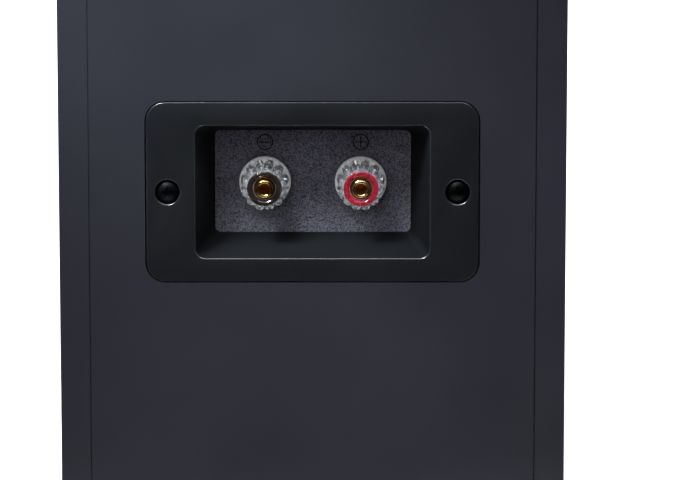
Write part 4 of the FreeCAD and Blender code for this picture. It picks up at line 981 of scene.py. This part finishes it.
coneValues = {
    "edge": 46.5, "lip": 43.8, "cap": 20, "seat": -16, "former": 13.25, "neck": -22.5, "end": -24,
    "skin": 0.8, "waist": (31.9, -6.56), "ribs": (25.5, 30.0, 34.5, 39.0), "ribHeight": 0.22, "ribWidth": 0.45,
    "backIn": 0.5, "waistSkin": 1.1, "seatSkin": 1.3, "capLedge": 2, "steps": 72}


def makeCone():
    # a flared sheet with four low ribs, a ledge for the cap and a neck that holds the former
    values = coneValues
    skin, cap, seat, lip, steps = values["skin"], values["cap"], values["seat"], values["lip"], values["steps"]
    edge, former, end, waist, backIn = (values[name] for name in ("edge", "former", "end", "waist", "backIn"))

    def ribbed(points):
        return [(out, level + sum(values["ribHeight"] * math.exp(-((out - rib) / values["ribWidth"]) ** 2)
                                  for rib in values["ribs"])) for out, level in points]

    upper = ribbed(sweepThrough((lip, 0), waist, (cap, seat), steps))
    lower = ribbed(sweepThrough((cap - backIn, seat - skin * values["seatSkin"]),
                                (waist[0], waist[1] - skin * values["waistSkin"]), (lip - backIn, -skin), steps))
    outline = [(edge, 0)] + upper + [(cap - values["capLedge"], seat), (former, values["neck"]), (former, end),
                                     (former + skin, end)] + lower + [(edge, -skin), (edge, 0)]
    settle(spinPiece(outline, 128), "wooferCone", wooferCentre, facingFront, "woofer_cone_assembly",
           "cone_paper", ["woofer_cone"], 60)


makeCone()

capValues = {
    "radius": 20, "seat": -16, "rise": 6.5, "skin": 0.5, "steps": 24, "bead": ((0.7, 0), (0.56, 0.4), (0.1, 0.8))}


def makeDustCap():
    # a shallow dome in a bead of glue
    values = capValues
    radius, seat, rise, skin, steps = (values[name] for name in ("radius", "seat", "rise", "skin", "steps"))
    outer, inner = dome(radius, seat, rise, steps), dome(radius - skin, seat, rise - skin, steps)
    bead = [(radius + out, seat + up) for out, up in values["bead"]]
    settle(spinPiece(bead + outer[2:] + inner[::-1] + bead[:1], 96), "dustCap", wooferCentre, facingFront,
           "woofer_cone_assembly", "cap_plastic", ["woofer_dust_cap"], 40)


makeDustCap()

wooferScrewValues = {
    "head": 3.1, "seat": 1.2, "top": 3.5, "shank": 1.9, "tip": -14, "flats": 2.5, "deep": 1.6,
    "point": 2, "pointIn": 0.9, "round": 0.4, "brim": 0.45}


def makeWooferScrews():
    # socket heads with six flats
    values = wooferScrewValues
    head, top, shank, tip = values["head"], values["top"], values["shank"], values["tip"]
    turn = values["round"]
    outline = [(0, tip), (shank - values["pointIn"], tip), (shank, tip + values["point"]), (shank, values["seat"]),
               (head, values["seat"]), (head, top - values["brim"])]
    screw = spinPiece(outline + arc((head - turn, top - turn), turn, 20, 90, 4) + [(0, top)], 40)
    clearSelection()
    bpy.ops.mesh.primitive_cylinder_add(vertices=6, radius=values["flats"] / math.sqrt(3) * mm,
                                        depth=values["deep"] * 2 * mm, location=(0, 0, top * mm))
    bpy.ops.object.transform_apply(location=True)
    carve(screw, bpy.context.object)
    settle(copyTo(screw, ringOfPlaces(wooferTrimValues)), "wooferScrews", wooferCentre, facingFront, "root",
           "black_screw", ["woofer_screws"], 30)


makeWooferScrews()

spiderValues = {
    "former": 13.25, "seat": 34, "rim": 38, "level": -27, "skin": 0.5, "wave": 1.3, "waves": 7, "points": 8}


def makeSpider():
    # a corrugated sheet between the former and the basket
    values = spiderValues
    former, seat, level, skin = values["former"], values["seat"], values["level"], values["skin"]
    steps = values["waves"] * values["points"]
    under = [(former + (seat - former) * step / steps,
              level - values["wave"] * math.sin(math.pi * step / values["points"])) for step in range(steps + 1)]
    over = [(out, height + skin) for out, height in under]
    outline = under + [(values["rim"], level), (values["rim"], level + skin)] + over[::-1] + under[:1]
    piece = settle(spinPiece(outline, 96), "wooferSpider", wooferCentre, facingFront, None, "spider_cloth",
                   ["woofer_spider"], 50)
    bendBetween(piece)


makeSpider()

tinselValues = {
    "route": ((6, -77, 62), (6, -84, 61), (6, -91, 62.5), (5.7, -94.2, 69), (5.4, -94.5, 75)), "radius": 0.6,
    "fixedPoint": 1, "sides": 3, "steps": 10}


def makeTinselLeads():
    # two braided leads with slack, from the terminal strip to the back of the cone
    values = tinselValues
    leads = []
    for side in (-1, 1):
        clearSelection()
        bpy.ops.curve.primitive_nurbs_path_add(radius=mm)
        lead = bpy.context.object
        for point, place in zip(lead.data.splines[0].points, values["route"]):
            point.co = (side * place[0] * mm, place[1] * mm, place[2] * mm, 1)
        lead.data.bevel_depth = values["radius"] * mm
        lead.data.bevel_resolution = values["sides"]
        lead.data.resolution_u = values["steps"]
        lead.data.use_fill_caps = True
        bpy.ops.object.convert(target="MESH")
        leads.append(bpy.context.object)
    piece = settle(joinPieces(leads), "tinselLeads", (0, 0, 0), (0, 0, 0), None, "braid", ["woofer_tinsel_leads"], 60)
    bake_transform(piece)


makeTinselLeads()
print("woofer pieces made")

facePlateValues = {
    "outer": 50, "board": -3, "boss": 31, "plane": -13, "lip": 20, "lipTop": -12.5, "throat": 16.8,
    "depth": -9.5, "waist": (26.4, -3.04), "mouth": 40, "steps": 28, "edge": 0.6, "flatEnd": 1.0,
    "circle": 45.2, "count": 4, "first": 45, "play": 0.15, "headPlay": 0.12}
tweeterScrewValues = {
    "head": 3.2, "sink": -2, "shank": 1.7, "tip": -13, "point": 1.6, "pointIn": 0.8, "brim": 0.12, "rise": 0.06,
    "length": 3.4, "width": 0.8, "deep": 1.2}


def makeFacePlate():
    # a disc whose face falls in one curve to the throat, with four countersinks
    values, screw = facePlateValues, tweeterScrewValues
    outer, throat, mouth, edge = values["outer"], values["throat"], values["mouth"], values["edge"]
    outline = [(outer - values["flatEnd"], 0)] + arc((outer - edge, -edge), edge, 90, 0, 5) + [
        (outer, values["board"]), (values["boss"], values["board"]), (values["boss"], values["plane"]),
        (values["lip"], values["plane"]), (values["lip"], values["lipTop"]), (throat, values["lipTop"])]
    outline += sweepThrough((throat, values["depth"]), values["waist"], (mouth, 0), values["steps"])
    outline += [(mouth + edge, 0), (outer - values["flatEnd"], 0)]
    plate = spinPiece(outline, 144)
    hole, sink = screw["shank"] + values["play"], screw["head"] + values["headPlay"]
    cutter = spinPiece([(0, -4), (hole, -4), (hole, screw["sink"] - values["play"]), (sink, 0), (sink, 1),
                        (0, 1)], 40)
    carve(plate, copyTo(cutter, ringOfPlaces(values)))
    settle(plate, "tweeterFacePlate", tweeterCentre, facingFront, "root", "horn_plastic", ["tweeter_faceplate"], 30)


def makeTweeterScrews():
    values = tweeterScrewValues
    head, shank, tip, brim = values["head"], values["shank"], values["tip"], values["brim"]
    screw = spinPiece([(0, tip), (shank - values["pointIn"], tip), (shank, tip + values["point"]),
                       (shank, values["sink"]), (head, -brim), (head - brim, 0), (0, values["rise"])], 40)
    cutCross(screw, values["length"], values["width"], values["rise"], values["deep"])
    settle(copyTo(screw, ringOfPlaces(facePlateValues)), "tweeterScrews", tweeterCentre, facingFront, "root",
           "black_screw", ["tweeter_screws"], 30)


makeFacePlate()
makeTweeterScrews()

tweeterDomeValues = {
    "radius": 12.6, "plane": -13, "rise": 5.2, "skin": 0.3, "steps": 24,
    "throat": 16.8, "lip": 20, "lipTop": -12.5, "roll": 1.4, "rollSteps": 12}


def makeTweeterDome():
    # a silk dome, and the small roll round it that bends as it moves
    values = tweeterDomeValues
    radius, plane, skin, steps = values["radius"], values["plane"], values["skin"], values["steps"]
    throat, lip, lipTop, roll = values["throat"], values["lip"], values["lipTop"], values["roll"]
    outer = dome(radius, plane, values["rise"], steps)
    inner = dome(radius - skin, plane, values["rise"] - skin, steps)
    settle(spinPiece(outer + inner[::-1] + outer[:1], 96), "tweeterDome", tweeterCentre, facingFront,
           "tweeter_dome_assembly", "silk", ["tweeter_dome"], 40)
    under = crown(radius, throat, plane, roll, values["rollSteps"]) + [(lip, plane)]
    over = [(lip, lipTop), (throat, lipTop)]
    over += crown(radius, throat, plane + skin, roll, values["rollSteps"])[::-1][1:]
    piece = settle(spinPiece(under + over + under[:1], 96), "tweeterSurround", tweeterCentre, facingFront, None,
                   "silk", ["tweeter_surround"], 50)
    bendBetween(piece)


makeTweeterDome()
print("tweeter pieces made")

portValues = {
    "bore": 20, "flare": 12, "tube": 22, "collar": 24, "shoulder": -16, "collarEnd": -28, "plate": -2.5,
    "flange": 37, "edge": 0.8, "edgeEnd": 0.9, "length": -98, "lip": 3}


def makePort():
    values = portValues
    bore, flare, tube, shoulder = values["bore"], values["flare"], values["tube"], values["shoulder"]
    collar, flange, plate, edge = values["collar"], values["flange"], values["plate"], values["edge"]
    portCentre = middleOf("port_flare")
    portCentre.y = rearFace
    outline = arc((bore + flare, -flare), flare, 90, 180, 16) + [
        (bore, shoulder), (tube, shoulder), (tube, values["collarEnd"]), (collar, values["collarEnd"]),
        (collar, -flare), (bore + flare, plate), (flange, plate), (flange, -values["edgeEnd"])]
    outline += arc((flange - edge, -edge), edge, 0, 90, 5)
    settle(spinPiece(outline + outline[:1], 128), "portFlare", portCentre, facingRear, "root", "port_plastic",
           ["port_flare"], 40)
    length, lip = values["length"], values["lip"]
    outline = [(bore, shoulder), (bore, length + lip)] + arc((bore + lip, length + lip), lip, 180, 270, 8) + [
        (tube + lip, length), (tube, length + lip), (tube, shoulder), (bore, shoulder)]
    settle(spinPiece(outline, 96), "portTube", portCentre, facingRear, "root", "port_plastic", ["port_tube"], 40)


makePort()

socketValues = {
    "bore": 2.6, "sleeve": 4.2, "flange": 5.4, "proud": 0.8, "deep": -10, "outerRound": 0.5, "innerRound": 0.6,
    "side": 75, "low": 21, "high": 313}


def makeSockets():
    values = socketValues
    bore, sleeve, flange, proud = values["bore"], values["sleeve"], values["flange"], values["proud"]
    low, high, outside, inside = values["low"], values["high"], values["outerRound"], values["innerRound"]
    outline = [(bore, values["deep"]), (sleeve, values["deep"]), (sleeve, 0), (flange, 0)]
    outline += arc((flange - outside, proud - outside), outside, 0, 90, 4)
    outline += arc((bore + inside, proud - inside), inside, 90, 180, 4)
    socket = spinPiece(outline + outline[:1], 48)
    # heights are from the floor the speaker stands on, so the row's middle is taken off
    middle = (low + high) / 2
    places = [(side * values["side"], height - middle) for side in (-1, 1) for height in (low, high)]
    settle(copyTo(socket, places), "grilleSockets", Vector((0, frontFace, middle * mm)), facingFront, "root",
           "socket_plastic", ["grille_sockets"], 40)


makeSockets()

footValues = {
    "outline": [(0, 0.7), (2.2, 0.7), (2.7, 0), (5.5, 0), (6.3, 0.3), (6.6, 1.1), (7.5, 4), (0, 4)],
    "side": 70, "front": -86, "rear": 90}


def makeFeet():
    values = footValues
    places = [(side * values["side"], along) for side in (-1, 1) for along in (values["front"], values["rear"])]
    settle(copyTo(spinPiece(values["outline"], 48), places), "rubberFeet", (0, 0, 0), (0, 0, 0), "root",
           "foot_rubber", ["rubber_feet"], 40)


makeFeet()

waddingValues = {
    "thick": 15, "front": 2, "rear": 74, "low": 38.5, "high": 295.5, "wall": 79.5, "cuts": 12, "edge": 5,
    "edgeSteps": 3, "ruffle": 0.9, "seed": 7}


def makeWadding():
    # each batt is a soft slab: its edges slump, its face is ruffled and it lies flat on the wall
    values = waddingValues
    thick, front, rear, low, high = (values[name] for name in ("thick", "front", "rear", "low", "high"))
    batts = []
    for side in (-1, 1):
        clearSelection()
        middle = Vector((side * (values["wall"] - thick / 2), (front + rear) / 2, (low + high) / 2))
        bpy.ops.mesh.primitive_cube_add(size=1, location=middle * mm)
        batt = bpy.context.object
        batt.scale = (thick * mm, (rear - front) * mm, (high - low) * mm)
        bpy.ops.object.transform_apply(location=True, scale=True)
        applyModifier(batt, "BEVEL", width=values["edge"] * mm, segments=values["edgeSteps"])
        startEdit()
        bpy.ops.mesh.subdivide(number_cuts=values["cuts"])
        pick(lambda place: abs(place.x) / mm < values["wall"] - values["edge"])
        bpy.ops.transform.vertex_random(offset=values["ruffle"] * mm, seed=values["seed"] + side)
        bpy.ops.mesh.vertices_smooth(factor=0.5, repeat=2)
        closeEdit()
        batts.append(batt)
    piece = settle(joinPieces(batts), "dampingWadding", (0, 0, 0), (0, 0, 0), "root", "wadding",
                   ["damping_wadding"], 60)


makeWadding()
print("port, sockets, feet and wadding made")
